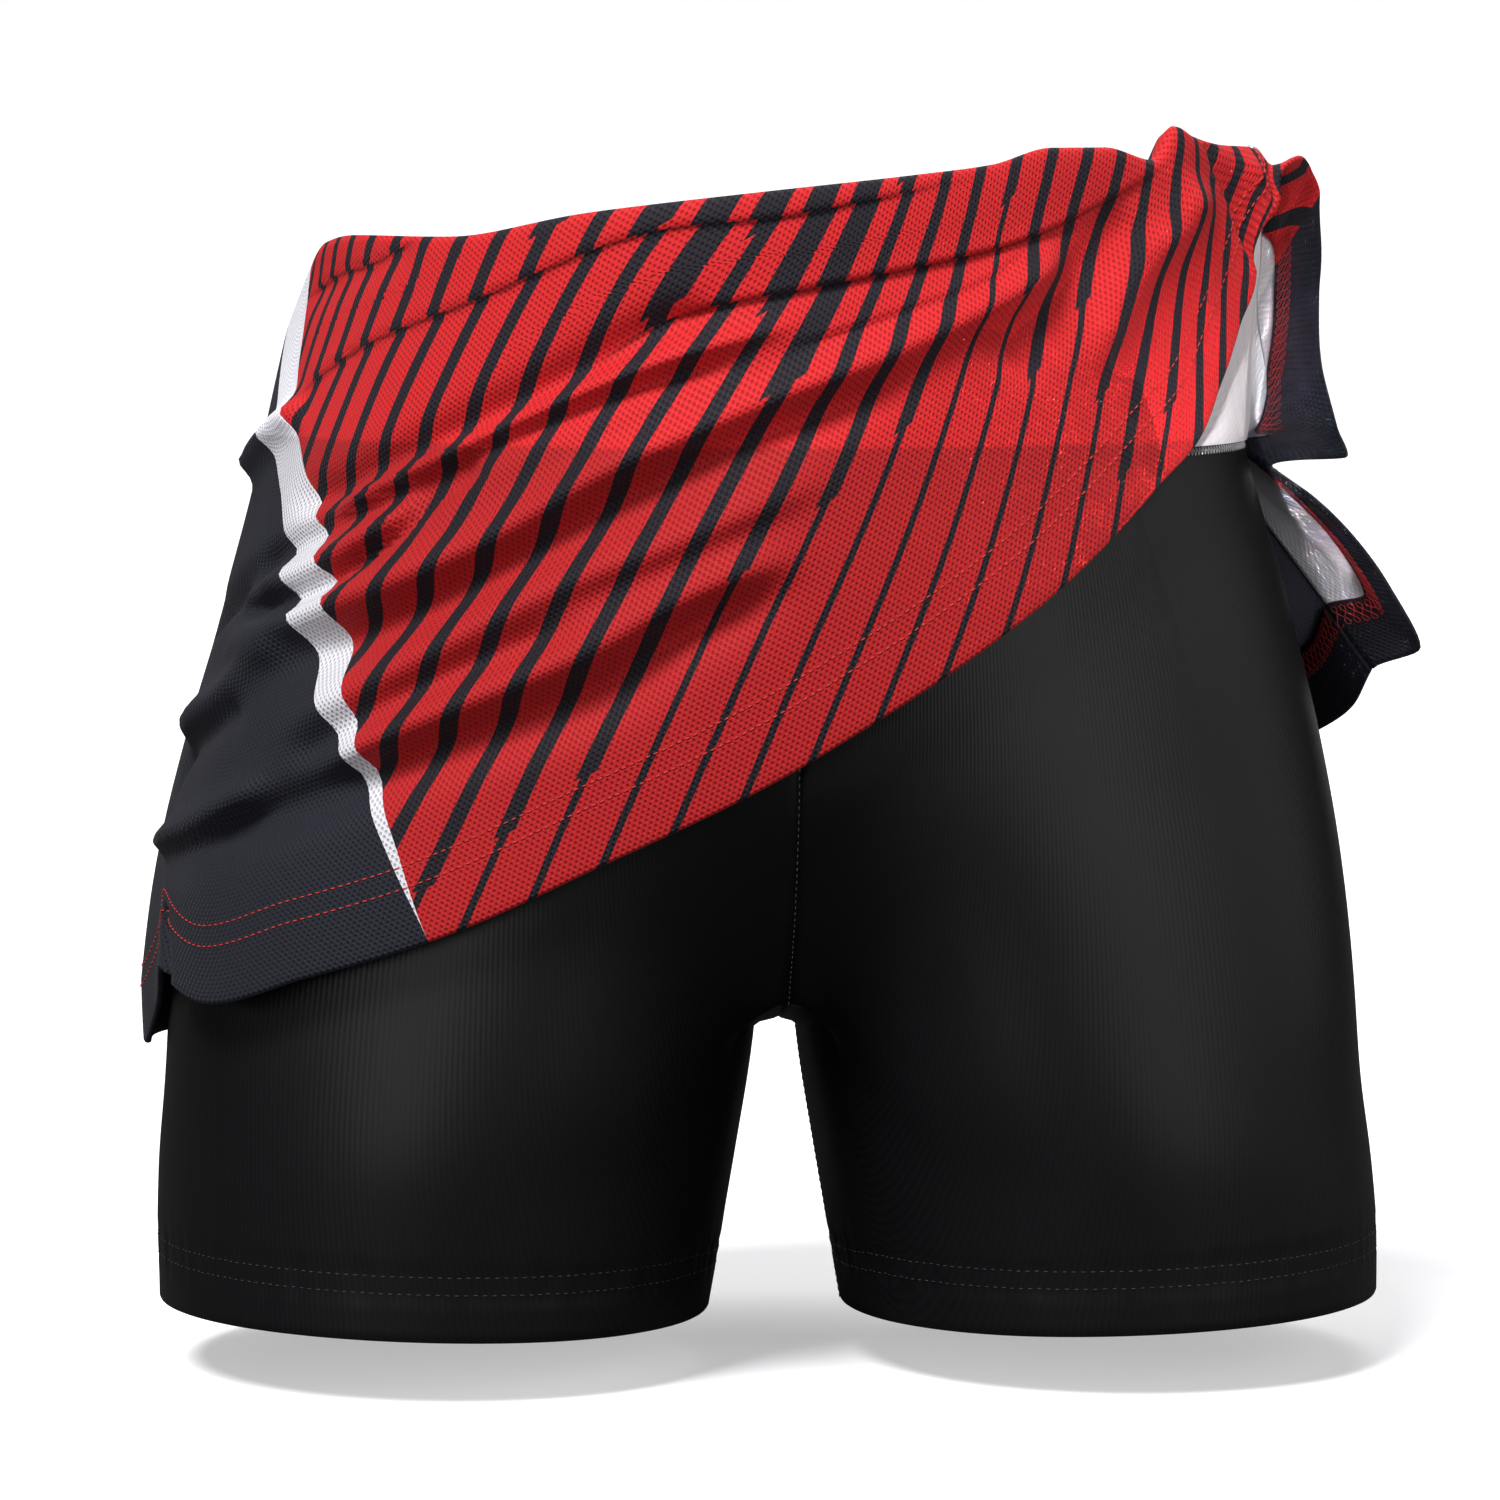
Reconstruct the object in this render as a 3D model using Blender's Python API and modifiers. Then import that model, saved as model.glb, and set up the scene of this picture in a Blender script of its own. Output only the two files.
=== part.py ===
"""Netball skirt with built-in shorts, in its worn shape, the front of the skirt turned up.

The frame is in metres with +Z up. The front faces -Y and the wearer's left side faces +X.
The origin is the centre of the waist seam, where waistband, skirt and shorts are sewn together.
The tables below are in millimetres and degrees, because a maker measures cloth that way.

Every point of the cloth is placed by three numbers around the wearer's trunk: the angle round
it (0 is the centre front, 90 is +X, -90 is -X), the height, and the distance off the skin.
"""
import math
from collections import namedtuple

import bpy
import numpy as np

MM = 0.001

# Driving sizes
SHORTS_WALL = 1.5
SKIRT_WALL = 1.5
BAND_WALL = 2.4
BAND_HEIGHT = 50.0
SEAM_GAP = 0.3
INSEAM_TOP = -168.0
CROTCH_DROP = 8.0
LEG_HEM = -267.5
LEG_HEM_RISE = 3.5
FOLD_RADIUS = 4.2
SKIRT_START = 0.6
SKIRT_CLEARANCE = 0.6

# Mesh density
BAND_SEGMENTS = 72
HALF_COLUMNS = 22
INSEAM_COLUMNS = 6
TRUNK_ROWS = 11
LEG_ROWS = (0.0, 0.03, 0.08, 0.16, 0.32, 0.52, 0.76, 1.0)
KNOT_STEPS = (2, 2, 2, 2, 4, 4, 4)

# The trunk under the shorts: half sizes of its section at each height. power is 2 for an ellipse
# and more for a squarer section. A cleft is the share of the depth that is lost on the middle
# line, between the thighs or between the seat's two sides.
TrunkSection = namedtuple(
    "TrunkSection", "z half_width front back power front_cleft back_cleft")
TRUNK = [
    TrunkSection(-168, 180.0, 106, 121, 2.8, 0.45, 0.42),
    TrunkSection(-135, 176.5, 106, 123, 2.6, 0.19, 0.19),
    TrunkSection(-96, 170.0, 106, 120, 2.3, 0.04, 0.07),
    TrunkSection(-46, 158.0, 104, 110, 2.1, 0.00, 0.01),
    TrunkSection(0, 145.0, 100, 100, 2.0, 0.00, 0.00),
    TrunkSection(50, 134.0, 97, 95, 2.0, 0.00, 0.00),
    TrunkSection(100, 131.0, 96, 94, 2.0, 0.00, 0.00),
]
CLEFT_WIDTH = 45.0
# The hip and leg on the -X side are this much fuller at the crotch, and this much at the hem.
FULLER_AT_CROTCH = 0.045
FULLER_AT_HEM = 0.018

# One leg of the shorts below the crotch: the inner and outer reach from the middle line.
LegSection = namedtuple("LegSection", "z inner outer front back")
LEG = [
    LegSection(-268, 20.5, 188.0, 92, 100),
    LegSection(-250, 17.5, 188.0, 94, 103),
    LegSection(-218, 12.0, 185.5, 98, 108),
    LegSection(-190, 7.5, 182.0, 101, 114),
    LegSection(-168, 5.0, 180.0, 103, 118),
]
# The share of the leg over which the trunk's section turns into the leg's, at the crotch and
# what is added to it on the outside.
CROTCH_BLEND = 0.08
OUTER_BLEND = 0.5

# The skirt: one row for each place on the waist seam, round from the centre back and over the
# front. The cloth rises from the seam to its crest, turns over there by its fold (1 is right
# over, 0 is not at all), and runs on to the hem. steps is the number of columns to the next row.
Station = namedtuple(
    "Station", "seam crest crest_z crest_off fold hem hem_z hem_off billow steps")
SKIRT = [
    Station(-180, -180, 28, 6, 1.0, -178, -190, 19, 3, 4),
    Station(-150, -152, 28, 6, 1.0, -141, -190, 16, 4, 4),
    Station(-125, -127, 29, 6, 1.0, -113, -188, 10, 2, 4),
    Station(-106, -108, 31, 8, 1.0, -94, -186, 8, 0, 3),
    Station(-98, -99, 32, 9, 1.0, -82, -170, 4, 0, 3),
    Station(-90, -91, 36, 10, 1.0, -71, -157, 8, 0, 3),
    Station(-83, -83, 51, 8, 1.0, -56, -164, 12, 1, 3),
    Station(-75, -76, 60, 7, 1.0, -44, -154, 13, 2, 3),
    Station(-64, -67, 63, 6, 1.0, -33, -142, 12, 2, 4),
    Station(-41, -46, 64, 6, 1.0, -18, -118, 12, 2, 5),
    Station(-20, -26, 72, 6, 1.0, -4, -96, 12, 2, 5),
    Station(0, -3, 79, 6, 1.0, 10, -71, 13, 1, 5),
    Station(18, 15, 84, 6, 1.0, 25, -43, 14, 1, 3),
    Station(28, 25, 87, 6, 1.0, 35, -24, 14, 1, 3),
    Station(36, 34, 92, 6, 1.0, 44, -8, 14, 0, 3),
    Station(43, 43, 92, 6, 1.0, 52, 4, 14, 0, 2),
    Station(49, 52, 88, 7, 1.0, 58, 17, 14, 0, 2),
    Station(53, 57, 98, 8, 1.0, 62, 28, 16, 0, 2),
    Station(57, 61, 95, 9, 1.0, 66, 38, 17, 0, 2),
    Station(62, 68, 92, 12, 1.0, 70, 50, 20, 0, 2),
    Station(67, 74, 89, 18, 0.9, 72, 67, 22, 0, 2),
    Station(71, 78, 83, 19, 0.6, 75, 80, 27, 0, 3),
    Station(75, 81, 72, 18, 0.2, 79, 86, 30, 0, 3),
    Station(78, 84, 56, 16, 0.0, 84, 84, 32, 0, 2),
    Station(81, 86, 46, 14, 0.0, 86, 76, 35, 0, 2),
    Station(85, 88, 34, 13, 0.0, 87, 62, 35, 0, 2),
    Station(90, 90, 22, 13, 0.0, 89, 42, 33, 0, 2),
    Station(94, 92, 10, 14, 0.0, 90, 19, 30, 0, 2),
    Station(97, 94, 5, 15, 0.0, 92, 4, 31, 0, 2),
    Station(99, 96, 2, 14, 0.0, 95, -5, 34, 0, 3),
    Station(101, 101, -3, 5, 0.0, 99, -9, 11, 0, 2),
    Station(103, 102, -6, 9, 0.0, 100, -19, 23, 0, 2),
    Station(105, 104, -11, 14, 0.0, 102, -31, 34, 0, 2),
    Station(107, 105, -17, 18, 0.0, 104, -47, 44, 0, 2),
    Station(110, 107, -26, 21, 0.0, 106, -68, 52, 0, 2),
    Station(113, 111, -28, 17, 0.0, 109, -75, 38, 0, 2),
    Station(118, 116, -26, 15, 0.0, 114, -88, 36, 0, 2),
    Station(127, 125, -20, 12, 0.2, 124, -103, 33, 2, 3),
    Station(143, 141, 4, 8, 0.7, 141, -142, 26, 3, 3),
    Station(160, 160, 20, 6, 1.0, 161, -178, 22, 3, 4),
    Station(180, 180, 28, 6, 1.0, 182, -190, 19, 3, 0),
]
SIDE_SEAM_LEFT = -106
SIDE_SEAM_RIGHT = 113

# The largest folds of the turned-down cloth: straight ridges (height above 0) and troughs
# (below 0), each between two places on it.
Fold = namedtuple("Fold", "turn_1 z_1 turn_2 z_2 width height")
FOLDS = [
    Fold(-66, 14, -8, 68, 4, -2.4),
    Fold(-24, 56, 20, 87, 4, -2.4),
    Fold(-72, 36, -44, 65, 4, -1.5),
    Fold(-14, 41, 22, 63, 6, 4.0),
    Fold(12, 56, 50, 94, 6, 3.5),
    Fold(-14, 30, 26, 62, 5, -3.0),
    Fold(-56, -62, -26, 16, 8, 4.5),
    Fold(-34, 2, 0, 53, 7, 4.5),
    Fold(-40, -22, -8, 40, 4, -3.0),
    Fold(-44, -36, -3, 38, 6, 3.5),
    Fold(-38, -42, -8, 2, 9, -4.5),
    Fold(-30, -70, 4, -4, 10, 5.0),
    Fold(-22, -76, 10, -22, 9, -3.5),
    Fold(57, 96, 61, 66, 4, -3.5),
    Fold(60, 78, 68, 38, 4, -3.5),
    Fold(54, 94, 26, 4, 7, 4.0),
    Fold(48, 86, 20, 34, 7, -4.0),
    Fold(-97, -34, -64, 6, 12, 3.5),
    Fold(-95, -60, -58, -18, 7, -4.5),
    Fold(-95, -84, -50, -40, 12, 2.5),
    Fold(-93, -106, -46, -66, 9, -3.0),
    Fold(-90, -130, -44, -94, 12, 2.5),
    Fold(-172, 10, -150, -150, 14, 3.5),
    Fold(-154, 12, -130, -150, 12, -3.5),
    Fold(-136, 10, -110, -140, 12, 3.0),
    Fold(134, -10, 138, -110, 12, 3.5),
    Fold(150, 0, 158, -140, 12, -3.5),
    Fold(166, 0, 172, -160, 13, 3.5),
]
DEEPEST_FOLD = -4.5


class Table:
    """A short table read as smooth curves that never overshoot their rows."""

    def __init__(self, rows):
        self.row_type = type(rows[0])
        self.values = np.array(rows, dtype=float)
        self.keys = self.values[:, 0]
        gaps = np.diff(self.keys)[:, None]
        slopes = np.diff(self.values, axis=0) / gaps
        self.tangents = np.zeros_like(self.values)
        same_way = slopes[:-1] * slopes[1:] > 0
        weight_1 = 2 * gaps[1:] + gaps[:-1]
        weight_2 = gaps[1:] + 2 * gaps[:-1]
        safe = np.where(same_way, slopes[:-1], 1.0), np.where(same_way, slopes[1:], 1.0)
        mean = (weight_1 + weight_2) / (weight_1 / safe[0] + weight_2 / safe[1])
        self.tangents[1:-1] = np.where(same_way, mean, 0.0)
        self.tangents[0] = slopes[0]
        self.tangents[-1] = slopes[-1]

    def at(self, key):
        """Return a row of the table's own type, read at any key."""
        key = min(max(key, self.keys[0]), self.keys[-1])
        index = min(int(np.searchsorted(self.keys, key, side="right")) - 1, len(self.keys) - 2)
        span = self.keys[index + 1] - self.keys[index]
        t = (key - self.keys[index]) / span
        value = (
            (2 * t**3 - 3 * t**2 + 1) * self.values[index]
            + (t**3 - 2 * t**2 + t) * span * self.tangents[index]
            + (3 * t**2 - 2 * t**3) * self.values[index + 1]
            + (t**3 - t**2) * span * self.tangents[index + 1]
        )
        return self.row_type(*value)


TRUNK_TABLE = Table(TRUNK)
LEG_TABLE = Table(LEG)
SKIRT_TABLE = Table(SKIRT)


def smooth_step(value):
    """Return an eased 0 to 1 for a value clamped to 0 to 1."""
    value = min(max(value, 0.0), 1.0)
    return value * value * (3 - 2 * value)


def fuller(x, z):
    """Return x moved out on the -X side, where the hip and leg are fuller."""
    down_leg = smooth_step((INSEAM_TOP - z) / (INSEAM_TOP - LEG_HEM))
    share = FULLER_AT_CROTCH + (FULLER_AT_HEM - FULLER_AT_CROTCH) * down_leg
    return x * (1 + share * smooth_step(z / INSEAM_TOP)) if x < 0 else x


def section_place(section, angle):
    """Return a place on a unit section at an angle, and the depth that goes with its side."""
    across, along = math.sin(angle), math.cos(angle)
    size = (abs(across) ** section.power + abs(along) ** section.power) ** (1 / section.power)
    depth = section.front if along > 0 else section.back
    return across / size, along / size, depth


def around_trunk(turn, z, off):
    """Return the point at an angle round the trunk, at a height and a distance off it."""
    section = TRUNK_TABLE.at(z)
    across, along, depth = section_place(section, math.radians(turn))
    steepness = section.power - 1
    normal = np.array([
        math.copysign(abs(across) ** steepness, across) / section.half_width,
        math.copysign(abs(along) ** steepness, -along) / depth,
    ])
    normal *= off / np.linalg.norm(normal)
    return np.array([
        fuller(section.half_width * across, z) + normal[0],
        -depth * along + normal[1],
        z,
    ])


def trunk_half_ring(z):
    """Return the shorts' outer line at a height, from centre front round +X to centre back."""
    section = TRUNK_TABLE.at(z)
    ring = []
    for column in range(HALF_COLUMNS + 1):
        across, along, depth = section_place(section, math.pi * column / HALF_COLUMNS)
        cleft = section.front_cleft if along > 0 else section.back_cleft
        x = section.half_width * across
        y = -depth * along * (1 - cleft * math.exp(-((x / CLEFT_WIDTH) ** 2)))
        ring.append(np.array([x + SEAM_GAP, y, z]))
    return ring


def crotch_line(back, front):
    """Return the points of the crotch seam between its two ends on the middle line."""
    line = []
    for column in range(1, INSEAM_COLUMNS):
        share = column / INSEAM_COLUMNS
        point = back + (front - back) * share
        point[2] -= CROTCH_DROP * math.sin(math.pi * share)
        line.append(point)
    return line


def leg_point(start, share):
    """Carry one point of the crotch level down its leg, share 0 to 1 of the way to the hem."""
    hem = LEG_HEM + LEG_HEM_RISE * smooth_step(start[0] / TRUNK[0].half_width)
    z = start[2] + (hem - start[2]) * share
    section = LEG_TABLE.at(z)
    half_width = (section.outer - section.inner) / 2
    centre = (section.outer + section.inner) / 2
    depth = section.front if start[1] < 0 else section.back
    angle = math.atan2((start[0] - centre) / half_width, -start[1] / depth)
    round_leg = np.array([centre + half_width * math.sin(angle), -depth * math.cos(angle)])
    blend_length = CROTCH_BLEND + OUTER_BLEND * smooth_step(start[0] / CLEFT_WIDTH)
    blend = smooth_step(share / blend_length)
    x, y = start[:2] * (1 - blend) + round_leg * blend
    return np.array([x, y, z])


def shorts_rows():
    """Return the +X half of the shorts: open rows to the crotch, then closed rows to the hem."""
    heights = [INSEAM_TOP * row / TRUNK_ROWS for row in range(TRUNK_ROWS + 1)]
    trunk_rows = [trunk_half_ring(z - SEAM_GAP / 2) for z in heights]
    last = trunk_rows[-1]
    crotch_level = last + crotch_line(last[-1], last[0])
    leg_rows = [[leg_point(point, share) for point in crotch_level] for share in LEG_ROWS]
    return trunk_rows, leg_rows


def shorts_surface(side):
    """Return vertices and faces of one half of the shorts; side is 1 for +X and -1 for -X."""
    trunk_rows, leg_rows = shorts_rows()
    vertices = [point for row in trunk_rows for point in row]
    faces = []
    width = HALF_COLUMNS + 1
    for row in range(TRUNK_ROWS):
        for column in range(HALF_COLUMNS):
            corner = row * width + column
            faces.append((corner, corner + width, corner + width + 1, corner + 1))
    loop = HALF_COLUMNS + INSEAM_COLUMNS
    above = [TRUNK_ROWS * width + column for column in range(width)]
    above += range(len(vertices), len(vertices) + INSEAM_COLUMNS - 1)
    vertices += leg_rows[0][width:]
    for row in leg_rows[1:]:
        below = list(range(len(vertices), len(vertices) + loop))
        vertices += row
        for column in range(loop):
            following = (column + 1) % loop
            faces.append((above[column], below[column], below[following], above[following]))
        above = below
    vertices = [(fuller(x * side, z), y, z) for x, y, z in vertices]
    if side < 0:
        faces = [face[::-1] for face in faces]
    return vertices, faces


def skirt_knots(station):
    """Return the points (angle, height, distance off) that a column of the skirt runs through."""
    crest = np.array([station.crest, station.crest_z, station.crest_off])
    reach = math.hypot(station.crest_z, station.crest_off)
    hanging = max(0.0, SKIRT_START - station.crest_z) / reach
    start_off = SKIRT_CLEARANCE + SKIRT_WALL * min(1.0, hanging)
    start = np.array([station.seam, SKIRT_START, start_off])
    hem = np.array([station.hem, station.hem_z, station.hem_off])
    turn_in = np.array([0, FOLD_RADIUS, FOLD_RADIUS])
    turn_out = np.array([0, -FOLD_RADIUS, FOLD_RADIUS])
    flat = 0.15 * (1 - station.fold)
    before = crest - (crest - start) * flat - turn_in * station.fold
    after = crest + (hem - crest) * flat + turn_out * station.fold
    billow = np.array([0, 0, station.billow])
    return [
        start,
        (start + before) / 2,
        before,
        crest,
        after,
        after + (hem - after) / 3 + billow,
        after + (hem - after) * 2 / 3 + billow,
        hem,
    ]


def through_knots(knots, steps):
    """Return points on a smooth curve through knots, with so many steps from each to the next."""
    padded = [2 * knots[0] - knots[1]] + list(knots) + [2 * knots[-1] - knots[-2]]
    points = [knots[0]]
    for index, count in enumerate(steps):
        before, start, end, after = padded[index : index + 4]
        for step in range(1, count + 1):
            t = step / count
            points.append(
                0.5 * (
                    2 * start
                    + (end - before) * t
                    + (2 * before - 5 * start + 4 * end - after) * t**2
                    + (3 * start - before - 3 * end + after) * t**3
                )
            )
    return points


def fold_height(turn, z):
    """Return how far the folds lift the turned-down cloth at a place on it."""
    lift = 0.0
    for fold in FOLDS:
        reach = math.radians(1) * TRUNK_TABLE.at(z).half_width * 0.85
        start = np.array([fold.turn_1 * reach, fold.z_1])
        along = np.array([fold.turn_2 * reach, fold.z_2]) - start
        here = np.array([turn * reach, z]) - start
        share = min(max(here.dot(along) / along.dot(along), 0.0), 1.0)
        distance = np.linalg.norm(here - along * share)
        taper = math.sin(math.pi * min(max(share, 0.06), 0.94))
        lift += fold.height * taper * math.exp(-((distance / fold.width) ** 2))
    return max(lift, DEEPEST_FOLD)


def skirt_column(seam):
    """Return one column of the skirt's face, from the waist seam to the hem."""
    station = SKIRT_TABLE.at(seam)
    outer_start = sum(KNOT_STEPS[:4])
    column = []
    for row, (turn, z, off) in enumerate(through_knots(skirt_knots(station), KNOT_STEPS)):
        if row > outer_start:
            ease = smooth_step((row - outer_start) / KNOT_STEPS[4])
            off += ease * station.fold * fold_height(turn, z)
        column.append(around_trunk(turn, z, off))
    return column


def skirt_panel(first_seam, last_seam):
    """Return vertices and faces of the skirt between two places on the waist seam."""
    seams = []
    for row, following in zip(SKIRT, SKIRT[1:]):
        for step in range(row.steps):
            seams.append(row.seam + (following.seam - row.seam) * step / row.steps)
    if first_seam < last_seam:
        chosen = [seam for seam in seams if first_seam <= seam <= last_seam]
    else:
        chosen = [seam for seam in seams if seam >= first_seam]
        chosen += [seam for seam in seams if seam <= last_seam]
    columns = [skirt_column(seam) for seam in chosen]
    columns[0] = seam_edge(columns[0], columns[1])
    columns[-1] = seam_edge(columns[-1], columns[-2])
    vertices = [point for column in columns for point in column]
    height = len(columns[0])
    faces = []
    for column in range(len(columns) - 1):
        for row in range(height - 1):
            corner = column * height + row
            faces.append((corner, corner + 1, corner + height + 1, corner + height))
    return vertices, faces


def seam_edge(edge, neighbour):
    """Return a panel's edge column drawn back from the seam, so that two panels stay apart."""
    drawn = []
    for point, inside in zip(edge, neighbour):
        inward = inside - point
        drawn.append(point + inward * (SEAM_GAP / np.linalg.norm(inward)))
    return drawn


def band_surface():
    """Return vertices and faces of the waistband's outer side."""
    vertices = []
    for z in (SEAM_GAP / 2, BAND_HEIGHT / 2, BAND_HEIGHT):
        for segment in range(BAND_SEGMENTS):
            turn = 360 * segment / BAND_SEGMENTS - 180
            vertices.append(around_trunk(turn, z, 0))
    faces = []
    for row in range(2):
        for segment in range(BAND_SEGMENTS):
            corner = row * BAND_SEGMENTS + segment
            following = row * BAND_SEGMENTS + (segment + 1) % BAND_SEGMENTS
            faces.append((corner, following, following + BAND_SEGMENTS, corner + BAND_SEGMENTS))
    return vertices, faces


def cloth_material(name, colour, roughness):
    """Make a plain cloth material."""
    material = bpy.data.materials.new(name)
    material.use_nodes = True
    shader = material.node_tree.nodes["Principled BSDF"]
    shader.inputs["Base Color"].default_value = (*colour, 1.0)
    shader.inputs["Roughness"].default_value = roughness
    shader.inputs["Metallic"].default_value = 0.0
    return material


def cloth_piece(collection, name, surface, wall, material):
    """Make one piece of cloth: an open surface with a wall behind it."""
    vertices, faces = surface
    mesh = bpy.data.meshes.new(name)
    mesh.from_pydata([tuple(value * MM for value in point) for point in vertices], [], faces)
    mesh.materials.append(material)
    mesh.shade_smooth()
    piece = bpy.data.objects.new(name, mesh)
    collection.objects.link(piece)
    solidify = piece.modifiers.new("Wall", "SOLIDIFY")
    solidify.thickness = wall * MM
    solidify.offset = -1
    return piece


def main():
    """Build the garment."""
    for leftover in list(bpy.data.objects):
        bpy.data.objects.remove(leftover, do_unlink=True)
    garment = bpy.data.collections.new("netball_skirt")
    bpy.context.scene.collection.children.link(garment)

    elastic = cloth_material("elastic", (0.015, 0.015, 0.018), 0.8)
    lycra = cloth_material("lycra", (0.012, 0.012, 0.015), 0.4)
    printed = cloth_material("printed_mesh", (0.55, 0.03, 0.04), 0.6)
    black = cloth_material("black_mesh", (0.02, 0.02, 0.028), 0.65)

    cloth_piece(garment, "waistband", band_surface(), BAND_WALL, elastic)
    cloth_piece(garment, "shorts_left", shorts_surface(1), SHORTS_WALL, lycra)
    cloth_piece(garment, "shorts_right", shorts_surface(-1), SHORTS_WALL, lycra)
    front = skirt_panel(SIDE_SEAM_LEFT, SIDE_SEAM_RIGHT)
    back = skirt_panel(SIDE_SEAM_RIGHT, SIDE_SEAM_LEFT)
    cloth_piece(garment, "skirt_front", front, SKIRT_WALL, printed)
    cloth_piece(garment, "skirt_back", back, SKIRT_WALL, black)


main()
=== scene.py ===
"""The looks of a netball skirt with built-in shorts, the front of the skirt turned up.

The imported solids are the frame. Every piece of cloth is made again here as a thin shell on its
solid's form, with its hems turned in, its smaller creases, its knit, its print and its sewing.

Places on the cloth are given as in the solids, in millimetres and degrees: the angle round the
wearer's trunk (0 is the centre front, 90 is +X, the wearer's left), the height above the waist
seam, and the distance off the trunk. The shells are built in metres.
"""

import logging
import math
from collections.abc import Callable, Sequence
from dataclasses import dataclass, field
from enum import Enum
from typing import NamedTuple

import bpy
import numpy as np
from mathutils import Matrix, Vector

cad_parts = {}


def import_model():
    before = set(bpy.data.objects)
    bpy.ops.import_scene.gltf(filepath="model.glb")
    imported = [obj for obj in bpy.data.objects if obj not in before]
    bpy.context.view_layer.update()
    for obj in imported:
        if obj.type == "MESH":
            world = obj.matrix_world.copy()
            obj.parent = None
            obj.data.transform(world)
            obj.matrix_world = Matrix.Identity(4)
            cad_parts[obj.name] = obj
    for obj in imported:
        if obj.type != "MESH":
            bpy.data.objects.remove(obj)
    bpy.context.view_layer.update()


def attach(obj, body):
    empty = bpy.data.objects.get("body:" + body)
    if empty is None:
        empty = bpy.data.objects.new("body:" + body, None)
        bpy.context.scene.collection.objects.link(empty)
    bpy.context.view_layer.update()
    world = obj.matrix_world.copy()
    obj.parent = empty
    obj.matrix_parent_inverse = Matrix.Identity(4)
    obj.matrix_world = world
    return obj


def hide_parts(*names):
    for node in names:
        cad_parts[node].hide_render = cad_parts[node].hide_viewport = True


LOG = logging.getLogger("netball_skirt")
MM = 0.001

Colour = tuple[float, float, float, float]
DARK: Colour = (0.0, 0.0, 0.0, 1.0)


class TrunkSection(NamedTuple):
    """Half sizes of the trunk's section at a height, and its clefts on the middle line."""

    z: float
    half_width: float
    front: float
    back: float
    power: float
    front_cleft: float
    back_cleft: float


TRUNK = [TrunkSection(*row) for row in (
    (-168, 180.0, 106, 121, 2.8, 0.45, 0.42),
    (-135, 176.5, 106, 123, 2.6, 0.19, 0.19),
    (-96, 170.0, 106, 120, 2.3, 0.04, 0.07),
    (-46, 158.0, 104, 110, 2.1, 0.00, 0.01),
    (0, 145.0, 100, 100, 2.0, 0.00, 0.00),
    (50, 134.0, 97, 95, 2.0, 0.00, 0.00),
    (100, 131.0, 96, 94, 2.0, 0.00, 0.00),
)]


class LegSection(NamedTuple):
    """Reach of one leg of the shorts at a height, from the middle line."""

    z: float
    inner: float
    outer: float
    front: float
    back: float


LEG = [LegSection(*row) for row in (
    (-268, 20.5, 188.0, 92, 100),
    (-250, 17.5, 188.0, 94, 103),
    (-218, 12.0, 185.5, 98, 108),
    (-190, 7.5, 182.0, 101, 114),
    (-168, 5.0, 180.0, 103, 118),
)]


class Station(NamedTuple):
    """One place on the waist seam, and the way of the skirt's cloth from there to its hem."""

    seam: float
    crest: float
    crest_z: float
    crest_off: float
    fold: float
    hem: float
    hem_z: float
    hem_off: float
    billow: float
    steps: float


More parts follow.
